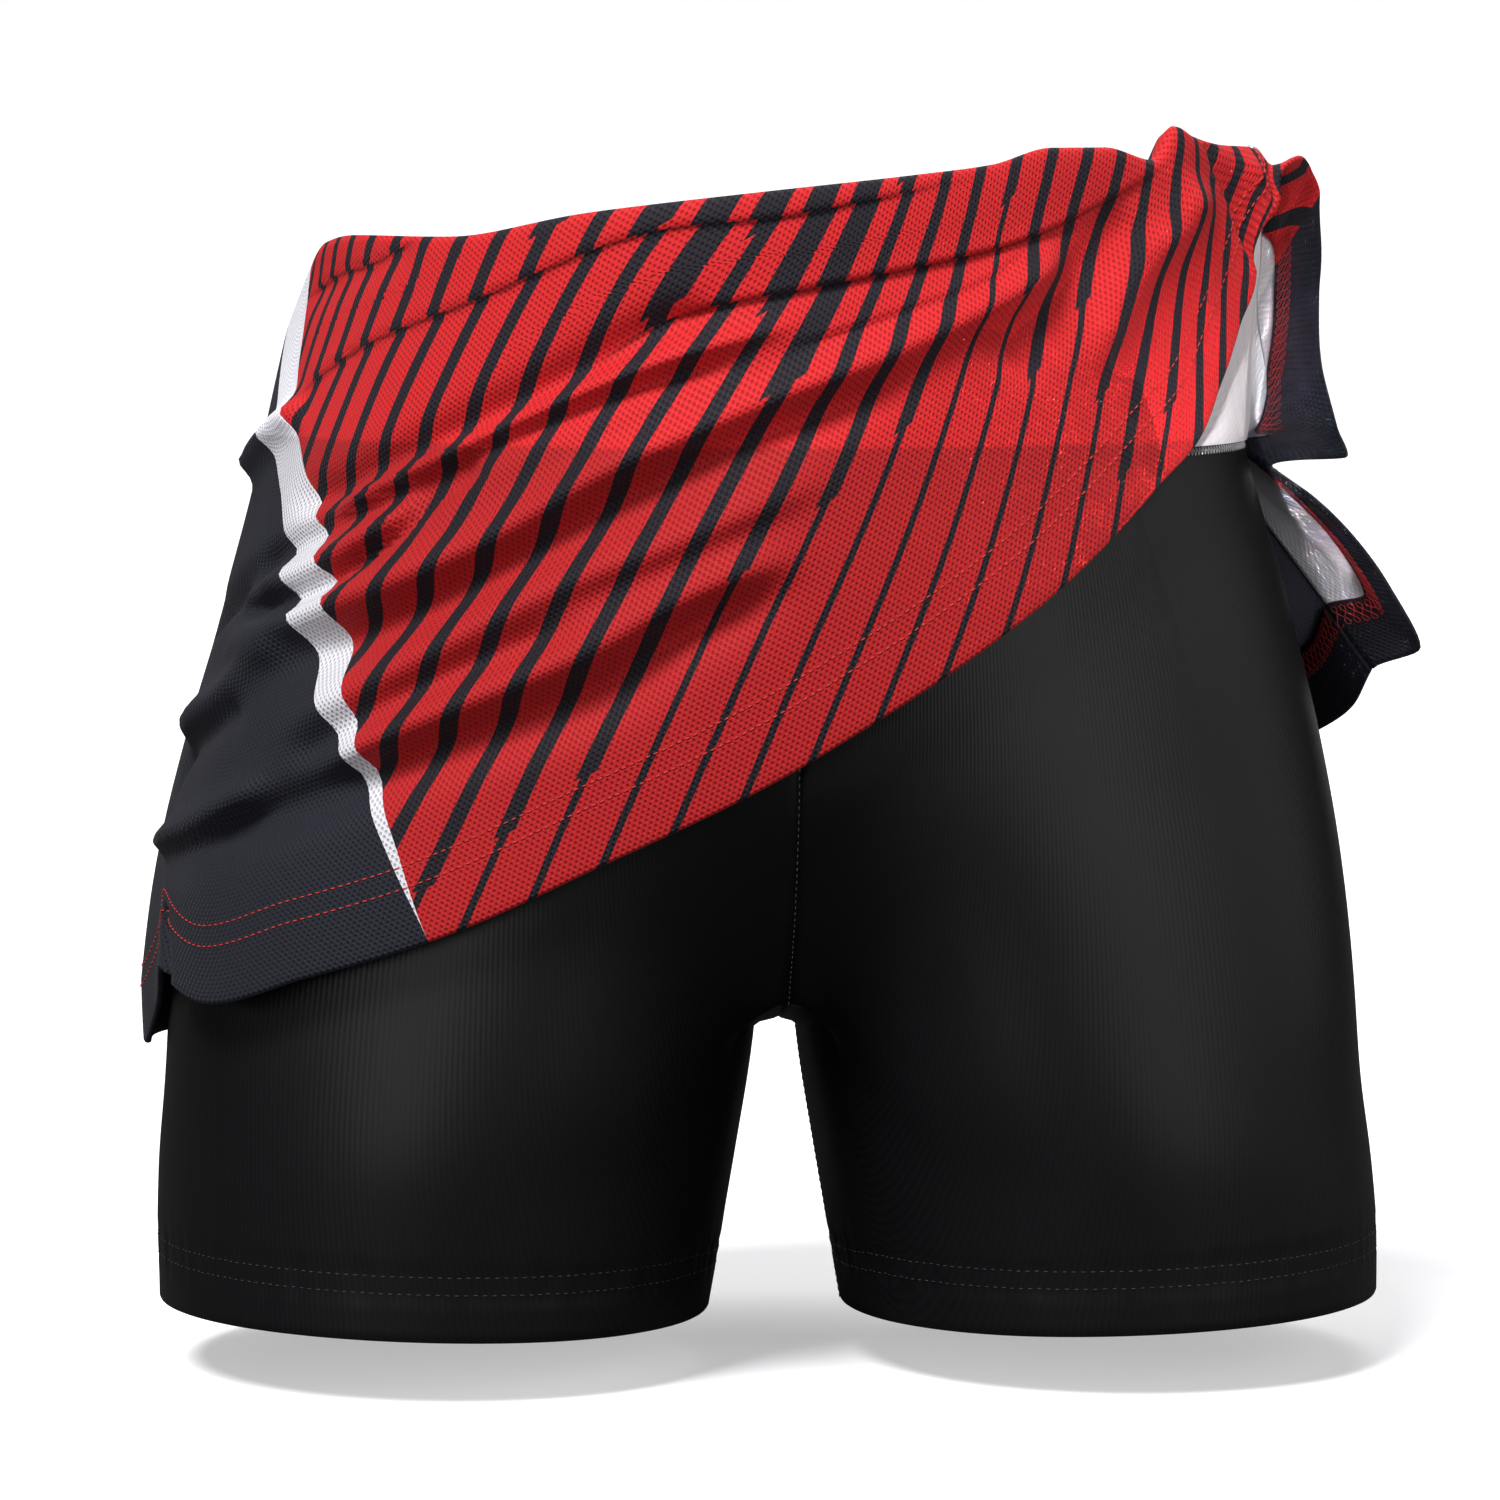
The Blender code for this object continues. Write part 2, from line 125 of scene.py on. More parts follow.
SKIRT = [Station(*row) for row in (
    (-180, -180, 28, 6, 1.0, -178, -190, 19, 3, 4),
    (-150, -152, 28, 6, 1.0, -141, -190, 16, 4, 4),
    (-125, -127, 29, 6, 1.0, -113, -188, 10, 2, 4),
    (-106, -108, 31, 8, 1.0, -94, -186, 8, 0, 3),
    (-98, -99, 32, 9, 1.0, -82, -170, 4, 0, 3),
    (-90, -91, 36, 10, 1.0, -71, -157, 8, 0, 3),
    (-83, -83, 51, 8, 1.0, -56, -164, 12, 1, 3),
    (-75, -76, 60, 7, 1.0, -44, -154, 13, 2, 3),
    (-64, -67, 63, 6, 1.0, -33, -142, 12, 2, 4),
    (-41, -46, 64, 6, 1.0, -18, -118, 12, 2, 5),
    (-20, -26, 72, 6, 1.0, -4, -96, 12, 2, 5),
    (0, -3, 79, 6, 1.0, 10, -71, 13, 1, 5),
    (18, 15, 84, 6, 1.0, 25, -43, 14, 1, 3),
    (28, 25, 87, 6, 1.0, 35, -24, 14, 1, 3),
    (36, 34, 92, 6, 1.0, 44, -8, 14, 0, 3),
    (43, 43, 92, 6, 1.0, 52, 4, 14, 0, 2),
    (49, 52, 88, 7, 1.0, 58, 17, 14, 0, 2),
    (53, 57, 98, 8, 1.0, 62, 28, 16, 0, 2),
    (57, 61, 95, 9, 1.0, 66, 38, 17, 0, 2),
    (62, 68, 92, 12, 1.0, 70, 50, 20, 0, 2),
    (67, 74, 91, 18, 0.9, 72, 69, 22, 0, 2),
    (71, 78, 88, 19, 0.6, 75, 86, 27, 0, 3),
    (75, 81, 76, 18, 0.2, 79, 88, 30, 0, 3),
    (78, 84, 56, 16, 0.0, 84, 84, 32, 0, 2),
    (81, 86, 46, 14, 0.0, 86, 76, 35, 0, 2),
    (85, 88, 34, 13, 0.0, 87, 62, 35, 0, 2),
    (90, 90, 22, 13, 0.0, 89, 42, 33, 0, 2),
    (94, 92, 10, 14, 0.0, 90, 19, 30, 0, 2),
    (97, 94, 5, 15, 0.0, 92, 4, 31, 0, 2),
    (99, 96, 2, 14, 0.0, 95, -5, 34, 0, 3),
    (101, 101, -3, 5, 0.0, 99, -9, 11, 0, 2),
    (103, 102, -6, 9, 0.0, 100, -19, 23, 0, 2),
    (105, 104, -11, 14, 0.0, 102, -31, 34, 0, 2),
    (107, 105, -17, 18, 0.0, 104, -47, 44, 0, 2),
    (110, 107, -26, 21, 0.0, 106, -68, 52, 0, 2),
    (113, 111, -28, 17, 0.0, 109, -75, 38, 0, 2),
    (118, 116, -26, 15, 0.0, 114, -88, 36, 0, 2),
    (127, 125, -20, 12, 0.2, 124, -103, 33, 2, 3),
    (143, 141, 4, 8, 0.7, 141, -142, 26, 3, 3),
    (160, 160, 20, 6, 1.0, 161, -178, 22, 3, 4),
    (180, 180, 28, 6, 1.0, 182, -190, 19, 3, 0),
)]


class Crease(NamedTuple):
    """A crease of the hanging or turned-down cloth, along places of angle and height.

    ridge lifts the cloth along the line, or sinks it where below 0. step is how far the cloth
    above the line stands out over the cloth below it. above and below are its half widths.
    slip is how far the print is out of line across it.
    """

    path: tuple[tuple[float, float], ...]
    ridge: float
    step: float
    above: float
    below: float
    slip: float


CREASES = [Crease(*row) for row in (
    # The waistband's edge, which shows through as a long thin tuck, and a short one over it
    (((-77, 12), (-62, 31), (-42, 47), (-20, 67), (-1, 73), (24, 85)), 0, 2.2, 12, 7, 4.5),
    (((-81, 45), (-71, 53), (-62, 57), (-52, 66)), -0.8, 2.0, 7, 7, 4.0),
    (((-70, 14), (-77, 8), (-84, -1), (-90, -8)), 3.5, 0, 4, 5, 0),
    # The creases that run down from the peak, from the uppermost to the lowest
    (((56, 89), (30, 66), (7, 54), (-15, 43), (-27, 25)), -0.6, 3.2, 9, 5, 4.0),
    (((-8, 47), (-18, 38), (-29, 23), (-45, 3), (-59, -12), (-68, -17)), -3.2, 0, 6, 3, 0),
    (((2, 43), (-10, 35), (-18, 28), (-35, 10), (-52, -8), (-60, -18)), 2.2, 0, 2.5, 3, 0),
    (((30, 65), (23, 54), (15, 47), (6, 40), (-5, 31)), 0, 2.4, 5, 4, 0),
    (((-4, 31), (-19, 22), (-35, 6), (-48, -11), (-65, -30), (-72, -38)), -2.6, 0, 4, 4, 0),
    (((-44, -14), (-52, -24), (-60, -35), (-68, -40), (-76, -47)), 2.2, 0, 4, 4, 0),
    (((-36, -1), (-43, -11), (-48, -24), (-59, -44), (-76, -51)), -3.4, 1.0, 3.5, 3, 0),
    (((36, 64), (26, 50), (-3, 18), (-21, -2), (-36, -26), (-61, -51), (-75, -64)),
     3.6, 0, 6, 6, 0),
    (((16, 26), (-4, 10), (-16, -6), (-32, -30), (-45, -50), (-66, -72)), -3.4, 0, 6, 8, 0),
    (((6, 0), (-14, -24), (-25, -36), (-42, -62), (-57, -86)), 2.6, 0, 7, 5, 0),
    (((-22, -46), (-31, -58), (-39, -69), (-47, -83), (-53, -92)), -1.8, 0, 4, 5, 0),
    (((2, -22), (-13, -42), (-22, -56), (-37, -76), (-51, -96)), 3.4, 0, 7, 6, 0),
    (((0, -32), (-12, -50), (-21, -70), (-41, -93), (-55, -110), (-76, -126)),
     -3.8, 0, 6, 8, 0),
    # The pleat that falls from the peak, and the cloth beside it
    (((62.6, 97), (63.5, 86), (66, 78), (68, 68), (71.5, 50)), -1.0, -2.8, 4, 5, 0),
    (((70, 90), (72.5, 76), (74, 62), (75, 50)), 2.0, 0, 3, 3, 0),
    (((61, 84), (55, 69), (48, 60), (43, 48), (34, 20)), 2.6, 0, 6, 8, 0),
    (((46, 76), (38, 58), (30, 40), (24, 22)), -2.0, 0, 7, 7, 0),
    # The black side
    (((-66, -34), (-74, -43), (-80, -50), (-88, -57)), -3.0, 1.5, 5, 4, 0),
    (((-58, -56), (-63, -62), (-69, -74), (-77, -80), (-92, -92)), 2.6, 0, 5, 6, 0),
    (((-62, -74), (-70, -85), (-80, -93), (-92, -104)), -2.2, 0, 5, 7, 0),
    (((-53, -97), (-60, -107), (-66, -114), (-74, -118), (-88, -125)), 3.0, 0, 6, 4, 0),
    (((-72, -138), (-70, -146), (-68, -153), (-65, -163)), -2.4, 0, 4, 3, 0),
    # The back, which hangs
    (((-172, 10), (-166, -60), (-150, -150)), 3.5, 0, 14, 12, 0),
    (((-154, 12), (-146, -70), (-130, -150)), -3.5, 0, 12, 10, 0),
    (((-136, 10), (-126, -60), (-110, -140)), 3.0, 0, 12, 14, 0),
    (((134, -10), (137, -50), (138, -110)), 3.5, 0, 12, 9, 0),
    (((150, 0), (153, -80), (158, -140)), -3.5, 0, 12, 14, 0),
    (((166, 0), (171, -90), (172, -160)), 3.5, 0, 13, 10, 0),
    (((178, 6), (184, -80), (182, -170)), -2.0, 0, 9, 9, 0),
)]
DEEPEST_FOLD = -6.0


class WedgeRow(NamedTuple):
    """The white wedge's two edges, measured along the hem, at a distance up from the hem."""

    up: float
    outer: float
    inner: float


WEDGE = [WedgeRow(*row) for row in (
    (-30, 0, 0),
    (0, 0, 0),
    (25, -2.5, 0.5),
    (57, -10, -3.5),
    (85, -22, -7.5),
    (110, -33, -13),
    (132, -48, -25),
    (155, -64, -40),
    (178, -92, -56),
    (200, -112, -68),
    (260, -118, -70),
)]


class Side(Enum):
    """A side of the wearer, with its sign along X."""

    LEFT = 1
    RIGHT = -1


class Held(Enum):
    """How a sheet of cloth is held, in the frame's words."""

    FOLDED = "folded"
    HUNG = "hung"
    STRETCHED = "stretched"


# ---------------------------------------------------------------------------------------------
# Shapes that the cloth lies on


class SmoothTable:
    """A short table of rows, read as smooth curves that never overshoot its rows."""

    def __init__(self, rows: Sequence[tuple]) -> None:
        """Work out the tangent of each column at each row.

        Args:
            rows: Rows of one named tuple type, whose first column is the key.
        """
        self.row_type = type(rows[0])
        self.values = np.array(rows, dtype=float)
        self.keys = self.values[:, 0]
        gaps = np.diff(self.keys)[:, None]
        slopes = np.diff(self.values, axis=0) / gaps
        self.tangents = np.zeros_like(self.values)
        same_way = slopes[:-1] * slopes[1:] > 0
        weight_1 = 2 * gaps[1:] + gaps[:-1]
        weight_2 = gaps[1:] + 2 * gaps[:-1]
        before = np.where(same_way, slopes[:-1], 1.0)
        after = np.where(same_way, slopes[1:], 1.0)
        mean = (weight_1 + weight_2) / (weight_1 / before + weight_2 / after)
        self.tangents[1:-1] = np.where(same_way, mean, 0.0)
        self.tangents[0] = slopes[0]
        self.tangents[-1] = slopes[-1]

    def at(self, key: np.ndarray | float) -> tuple:
        """Read the table at any keys.

        Args:
            key: One key or an array of keys, held to the table's range.

        Returns:
            A row of the table's own type, whose columns are arrays of the key's shape.
        """
        key = np.clip(np.asarray(key, dtype=float), self.keys[0], self.keys[-1])
        index = np.searchsorted(self.keys, key, side="right") - 1
        index = np.clip(index, 0, len(self.keys) - 2)
        span = (self.keys[index + 1] - self.keys[index])[..., None]
        t = (key - self.keys[index])[..., None] / span
        value = (
            (2 * t**3 - 3 * t**2 + 1) * self.values[index]
            + (t**3 - 2 * t**2 + t) * span * self.tangents[index]
            + (3 * t**2 - 2 * t**3) * self.values[index + 1]
            + (t**3 - t**2) * span * self.tangents[index + 1]
        )
        return self.row_type(*np.moveaxis(value, -1, 0))


def smooth_step(value: np.ndarray | float) -> np.ndarray:
    """Ease values from 0 to 1, held to that range."""
    value = np.clip(value, 0.0, 1.0)
    return value * value * (3 - 2 * value)


def unit(vectors: np.ndarray) -> np.ndarray:
    """Scale vectors, along the last axis, to a length of one."""
    length = np.linalg.norm(vectors, axis=-1, keepdims=True)
    return vectors / np.maximum(length, 1e-9)


def between(
    before: np.ndarray, start: np.ndarray, end: np.ndarray, after: np.ndarray, share: np.ndarray
) -> np.ndarray:
    """Follow the smooth curve through four nodes, share 0 to 1 of the way from start to end."""
    return 0.5 * (
        2 * start
        + (end - before) * share
        + (2 * before - 5 * start + 4 * end - after) * share**2
        + (3 * start - before - 3 * end + after) * share**3
    )


def smooth_path(nodes: np.ndarray, steps: int) -> np.ndarray:
    """Round off a path through its nodes.

    Args:
        nodes: The nodes, in order.
        steps: How many short lines replace each long one.

    Returns:
        The points of the rounded path, from the first node to the last.
    """
    first, last = 2 * nodes[0] - nodes[1], 2 * nodes[-1] - nodes[-2]
    padded = np.concatenate([first[None], nodes, last[None]])
    share = (np.arange(steps) / steps)[:, None]
    spans = [between(*four, share) for four in zip(padded, padded[1:], padded[2:], padded[3:])]
    return np.concatenate([*spans, nodes[-1:]])


def grid_normals(points: np.ndarray, closed: bool = False) -> np.ndarray:
    """Work out the normals of a grid of points.

    Args:
        points: The grid, rows by columns by 3.
        closed: True where the last column joins the first.

    Returns:
        Unit normals of the same shape, along the row direction crossed with the columns'.
    """
    down = np.gradient(points, axis=0)
    if closed:
        across = np.roll(points, -1, axis=1) - np.roll(points, 1, axis=1)
    else:
        across = np.gradient(points, axis=1)
    return unit(np.cross(down, across))


@dataclass
class Trunk:
    """The general form of hips and waist that the garment is shaped on. It is never built."""

    crotch_z: float = -168.0
    hem_z: float = -267.5
    fuller_at_crotch: float = 0.045
    fuller_at_hem: float = 0.018
    cleft_width: float = 45.0
    table: SmoothTable = field(default_factory=lambda: SmoothTable(TRUNK))

    def fuller(self, x: np.ndarray, z: np.ndarray) -> np.ndarray:
        """Move x out on the -X side, where the hip and leg are fuller."""
        down_leg = smooth_step((self.crotch_z - z) / (self.crotch_z - self.hem_z))
        share = self.fuller_at_crotch + (self.fuller_at_hem - self.fuller_at_crotch) * down_leg
        return np.where(x < 0, x * (1 + share * smooth_step(z / self.crotch_z)), x)

    def section(self, turn: np.ndarray, z: np.ndarray) -> tuple:
        """Find places on the trunk's section.

        Args:
            turn: Angles round the trunk, in degrees.
            z: Heights, in millimetres.

        Returns:
            The section's row, the place across and along on the unit section, and the depth.
        """
        row = self.table.at(z)
        angle = np.radians(turn)
        across, along = np.sin(angle), np.cos(angle)
        size = np.abs(across) ** row.power + np.abs(along) ** row.power
        size = size ** (1 / row.power)
        depth = np.where(along > 0, row.front, row.back)
        return row, across / size, along / size, depth

    def place(self, turn: np.ndarray, z: np.ndarray, off: np.ndarray) -> np.ndarray:
        """Turn angles, heights and distances off the trunk into points in millimetres."""
        row, across, along, depth = self.section(turn, z)
        steep = row.power - 1
        normal_x = np.copysign(np.abs(across) ** steep, across) / row.half_width
        normal_y = np.copysign(np.abs(along) ** steep, -along) / depth
        size = np.hypot(normal_x, normal_y)
        x = self.fuller(row.half_width * across, z) + normal_x / size * off
        y = -depth * along + normal_y / size * off
        return np.stack([x, y, np.broadcast_to(z, x.shape)], axis=-1)


@dataclass
class SkirtForm:
    """The way of the skirt's cloth: up from the waist seam, over its crest, down to the hem."""

    trunk: Trunk
    fold_radius: float = 4.2
    start_z: float = 0.6
    clearance: float = 0.6
    solid_wall: float = 1.5
    flat_share: float = 0.15
    crest_knot: int = 3
    last_knot: int = 7
    samples: int = 351
    roundness: float = 0.85
    crease_steps: int = 5
    fade: float = 0.16
    depth: float = 1.85
    tuck_edge: float = 0.7
    slip_reach: float = 13.0
    no_tuck: float = 99.0
    table: SmoothTable = field(default_factory=lambda: SmoothTable(SKIRT))

    def knots(self, seam: np.ndarray) -> np.ndarray:
        """List the eight knots of each column of cloth, as angle, height and distance off."""
        row = self.table.at(seam)
        crest = np.stack([row.crest, row.crest_z, row.crest_off], axis=-1)
        reach = np.hypot(row.crest_z, row.crest_off)
        hanging = np.maximum(0.0, self.start_z - row.crest_z) / reach
        start_off = self.clearance + self.solid_wall * np.minimum(1.0, hanging)
        start = np.stack([row.seam, np.full_like(seam, self.start_z), start_off], axis=-1)
        hem = np.stack([row.hem, row.hem_z, row.hem_off], axis=-1)
        fold = row.fold[:, None]
        turn_in = np.array([0, self.fold_radius, self.fold_radius]) * fold
        turn_out = np.array([0, -self.fold_radius, self.fold_radius]) * fold
        flat = self.flat_share * (1 - fold)
        before = crest - (crest - start) * flat - turn_in
        after = crest + (hem - crest) * flat + turn_out
        billow = np.stack([0 * seam, 0 * seam, row.billow], axis=-1)
        third = (hem - after) / 3
        return np.stack(
            [start, (start + before) / 2, before, crest, after,
             after + third + billow, after + third * 2 + billow, hem],
            axis=1,
        )

    def curve(self, seam: np.ndarray, t: np.ndarray) -> np.ndarray:
        """Follow the smooth curve through the knots of each column.

        Args:
            seam: The columns' places on the waist seam, in degrees.
            t: Knot numbers along the curve, whole or not, from 0 to 7.

        Returns:
            Angle, height and distance off, shaped columns by places by 3.
        """
        knots = self.knots(seam)
        first = 2 * knots[:, :1] - knots[:, 1:2]
        last = 2 * knots[:, -1:] - knots[:, -2:-1]
        padded = np.concatenate([first, knots, last], axis=1)
        index = np.minimum(t.astype(int), self.last_knot - 1)
        return between(*(padded[:, index + step] for step in range(4)), (t - index)[None, :, None])

    def sampled(self, seam: np.ndarray) -> tuple[np.ndarray, np.ndarray]:
        """Follow the curve in many short steps: their knot numbers, and the places there."""
        steps = np.linspace(0, self.last_knot, self.samples)
        return steps, self.curve(seam, steps)

    def spread(self, turn: np.ndarray, z: np.ndarray) -> np.ndarray:
        """Lay places on the trunk flat, in millimetres across and up."""
        reach = math.radians(1) * self.trunk.table.at(z).half_width * self.roundness
        return np.stack([turn * reach, z + 0 * reach], axis=-1)

    def beside(self, crease: Crease, flat: np.ndarray) -> tuple[np.ndarray, np.ndarray]:
        """Find where flattened places lie by a crease.

        Args:
            crease: The crease.
            flat: Places that spread() gave.

        Returns:
            The distance to its line, above 0 on its upper side, and its strength there.
        """
        nodes = np.array(crease.path, dtype=float)
        if nodes[0, 0] > nodes[-1, 0]:
            nodes = nodes[::-1]
        line = smooth_path(self.spread(nodes[:, 0], nodes[:, 1]), self.crease_steps)
        nearest = np.full(flat.shape[:-1], np.inf)
        distance = np.zeros_like(nearest)
        share = np.zeros_like(nearest)
        for step, (start, end) in enumerate(zip(line, line[1:])):
            along = end - start
            here = flat - start
            part = np.clip(here @ along / (along @ along), 0, 1)
            off = here - part[..., None] * along
            size = np.linalg.norm(off, axis=-1)
            above = along[0] * off[..., 1] - along[1] * off[..., 0] > 0
            closer = size < nearest
            nearest = np.where(closer, size, nearest)
            distance = np.where(closer, np.where(above, size, -size), distance)
            share = np.where(closer, (step + part) / (len(line) - 1), share)
        strength = smooth_step(share / self.fade) * smooth_step((1 - share) / self.fade)
        return distance, strength

    def creased(self, turn: np.ndarray, z: np.ndarray) -> tuple[np.ndarray, np.ndarray]:
        """Work out what the creases do to places on the outer cloth.

        Args:
            turn: Angles round the trunk.
            z: Heights.

        Returns:
            How far the cloth is lifted, and its tuck: the distance to the nearest tuck's line,
            below 0 on its lower side, how far the print has slipped across that line, and how
            far the tucks farther off have moved it.
        """
        flat = self.spread(turn, z)
        lift, slip, moved = np.zeros((3, *turn.shape))
        nearest = np.full_like(turn, self.no_tuck)
        for crease in CREASES:
            distance, strength = self.beside(crease, flat)
            width = np.where(distance > 0, crease.above, crease.below)
            lift += strength * crease.ridge * self.depth * np.exp(-((distance / width) ** 2))
            side = strength * np.tanh(distance / self.tuck_edge) / 2
            lift += crease.step * side * np.exp(-np.abs(distance) / width)
            if crease.slip:
                closer = np.abs(distance) < np.abs(nearest)
                faded = crease.slip * strength * np.exp(-np.abs(distance) / self.slip_reach)
                moved += faded * (distance < 0)
                nearest = np.where(closer, distance, nearest)
                slip = np.where(closer, faded, slip)
        moved -= slip * (nearest < 0)
        return np.maximum(lift, DEEPEST_FOLD), np.stack([nearest, slip, moved], axis=-1)

    def points(self, seam: np.ndarray, t: np.ndarray) -> tuple[np.ndarray, np.ndarray]:
        """Place the face of the cloth, creases and all.

        Args:
            seam: The columns' places on the waist seam.
            t: Knot numbers, one row of them for each column.

        Returns:
            Points in millimetres, columns by rows by 3, and the tuck at each.
        """
        steps, dense = self.sampled(seam)
        turn, z, off = (
            np.stack([np.interp(t[c], steps, dense[c, :, k]) for c in range(len(seam))])
            for k in range(3)
        )
        ease = smooth_step(t - self.crest_knot) * self.table.at(seam).fold[:, None]
        lift, tuck = self.creased(turn, z)
        tuck[..., 1:] *= ease[..., None]
        return self.trunk.place(turn, z, off + ease * lift), tuck


# ---------------------------------------------------------------------------------------------
# Node trees


def operation(name: str, turned: bool = False) -> Callable[..., "Value"]:
    """Make a method of Value that adds a Math node.

    Args:
        name: The node's operation.
        turned: True where the value itself is the last operand.

    Returns:
        The method, which takes the other operands.
    """

    def method(value: "Value", *others: "Value | float") -> "Value":
        """Add the node to the value's graph."""
        return value.graph.maths(name, *((*others, value) if turned else (value, *others)))

    return method


class Value:
    """A socket of a node tree that takes part in Python expressions."""

    def __init__(self, graph: "Graph", socket: bpy.types.NodeSocket) -> None:
        """Wrap an output socket of the graph."""
        self.graph = graph
        self.socket = socket

    __add__ = __radd__ = operation("ADD")
    __sub__ = operation("SUBTRACT")
    __rsub__ = operation("SUBTRACT", True)
    __mul__ = operation("MULTIPLY")
    __truediv__ = operation("DIVIDE")
    __lt__ = operation("LESS_THAN")
    __gt__ = operation("GREATER_THAN")
    sine = operation("SINE")
    floor = operation("FLOOR")
    fraction = operation("FRACT")
    size = operation("ABSOLUTE")
    at_least = operation("MAXIMUM")

    def wave(self, pitch: float) -> "Value":
        """Swing between -1 and 1, once in each pitch."""
        return (self * (2 * math.pi / pitch)).sine()


class Graph:
    """Builds one node tree, of a material or of geometry, from Python calls."""

    def __init__(self, tree: bpy.types.NodeTree) -> None:
        """Start on an existing tree."""
        self.tree = tree

    def node(
        self,
        kind: str,
        settings: dict[str, object] | None = None,
        inputs: dict[str | int, object] | None = None,
    ) -> bpy.types.Node:
        """Add a node.

        Args:
            kind: The node's type.
            settings: Its own properties, which are set first.
            inputs: Numbers, colours or Values for its sockets, by name or number.

        Returns:
            The new node.
        """
        made = self.tree.nodes.new(kind)
        for name, setting in (settings or {}).items():
            setattr(made, name, setting)
        for key, given in (inputs or {}).items():
            if isinstance(given, Value):
                self.tree.links.new(given.socket, made.inputs[key])
            else:
                made.inputs[key].default_value = given
        return made

    def value(
        self,
        kind: str,
        settings: dict[str, object] | None = None,
        inputs: dict[str | int, object] | None = None,
        output: str | int = 0,
    ) -> Value:
        """Add a node and return one of its outputs."""
        return Value(self, self.node(kind, settings, inputs).outputs[output])

    def maths(self, operation: str, *operands: "Value | float") -> Value:
        """Add a Math node."""
        return self.value("ShaderNodeMath", {"operation": operation}, dict(enumerate(operands)))

    def vector_maths(self, operation: str, inputs: dict[str | int, object]) -> Value:
        """Add a Vector Math node."""
        return self.value("ShaderNodeVectorMath", {"operation": operation}, inputs)

    def mix(self, factor: "Value | float", low: object, high: object) -> Value:
        """Mix two colours."""
        settings = {"data_type": "RGBA"}
        return self.value("ShaderNodeMix", settings, {0: factor, 6: low, 7: high}, 2)

    def map_parts(self, name: str) -> tuple[Value, Value]:
        """Read both numbers of a UV map, in millimetres."""
        found = self.value("ShaderNodeUVMap", {"uv_map": name})
        parts = self.node("ShaderNodeSeparateXYZ", None, {0: found})
        return Value(self, parts.outputs[0]) / MM, Value(self, parts.outputs[1]) / MM

    def height(self) -> Value:
        """Read the height on the garment, in metres."""
        place = self.value("ShaderNodeTexCoord", None, None, "Object")
        return self.value("ShaderNodeSeparateXYZ", None, {0: place}, 2)

    def noise(self, **inputs: float) -> Value:
        """Read a noise of those settings, about 0 to 1."""
        return self.value("ShaderNodeTexNoise", None, inputs, "Fac")

    def from_camera(self) -> Value:
        """Give 1 where the camera looks straight at the place, else 0."""
        return self.value("ShaderNodeLightPath", None, None, "Is Camera Ray")

    def feed(self, node: bpy.types.Node, socket: str, value: Value) -> None:
        """Link a value to a node's socket."""
        self.tree.links.new(value.socket, node.inputs[socket])

    def relief(self, shader: bpy.types.Node, height: Value, deep: float) -> None:
        """Raise the shader's surface by a height of 0 to 1 times so many millimetres."""
        bump = self.value("ShaderNodeBump", None, {"Distance": deep * MM, "Height": height})
        self.feed(shader, "Normal", bump)


# ---------------------------------------------------------------------------------------------
# Finishes


def display(red: int, green: int, blue: int) -> Colour:
    """Turn a colour as seen on a display, 0 to 255, into a shader's linear colour."""
    parts = np.array([red, green, blue]) / 255
    linear = np.where(parts <= 0.04045, parts / 12.92, ((parts + 0.055) / 1.055) ** 2.4)
    return (*(float(part) for part in linear), 1.0)


def tinted(colour: Colour, times: float) -> Colour:
    """Make a colour that is so many times as light."""
    return (*(part * times for part in colour[:3]), 1.0)


@dataclass(frozen=True)
class Finish:
    """A surface finish: what every material of the garment shares."""

    name: str
    roughness: float = 0.6
    specular: float = 0.5
    sheen: float = 0.0
    sheen_roughness: float = 0.4

    def material(self) -> bpy.types.Material:
        """Make the material, or find it if it is made already."""
        found = bpy.data.materials.get(self.name)
        if found is not None:
            return found
        made = bpy.data.materials.new(self.name)
        made.use_nodes = True
        shader = made.node_tree.nodes["Principled BSDF"]
        for socket, setting in (
            ("Roughness", self.roughness),
            ("Specular IOR Level", self.specular),
            ("Sheen Weight", self.sheen),
            ("Sheen Roughness", self.sheen_roughness),
        ):
            shader.inputs[socket].default_value = setting
        self.paint(Graph(made.node_tree), shader)
        return made

    def paint(self, graph: Graph, shader: bpy.types.Node) -> None:
        """Give the shader its colour and its relief."""
        raise NotImplementedError


@dataclass(frozen=True)
class MeshKnit(Finish):
    """A light sports knit with a bird's-eye texture, in one colour of dye laid on a little
    unevenly, with painted shade in its pits.
    """

    colour: Colour = display(36, 37, 48)
    tint: float = 0.8
    patches: float = 22.0
    wale: float = 2.0
    course: float = 2.6
    depth: float = 0.34
    pit_shade: float = 0.42
    uneven: float = 0.1

    def dye_and_shade(self, graph: Graph, across: Value, along: Value) -> Value:
        """Give the cloth's own colour."""
        patchy = graph.noise(Scale=self.patches, Detail=2.0)
        return graph.mix(patchy, tinted(self.colour, self.tint), self.colour)

    def paint(self, graph: Graph, shader: bpy.types.Node) -> None:
        """Give the shader its colour, and the knit's small pits, in rows that are offset, their
        colour darkened with painted shade.
        """
        across, along = graph.map_parts("cloth")
        loops = 1 - (across.wave(self.wale) * along.wave(self.course)).at_least(0.0)
        colour = self.dye_and_shade(graph, across, along)
        # Painted shade: the colour darkens in the knit's pits, where the relief dips.
        dark = graph.mix(self.pit_shade, colour, DARK)
        graph.feed(shader, "Base Color", graph.mix(loops, dark, colour))
        graph.feed(shader, "Roughness", loops * self.uneven + (self.roughness - self.uneven / 2))
        graph.relief(shader, loops, self.depth)


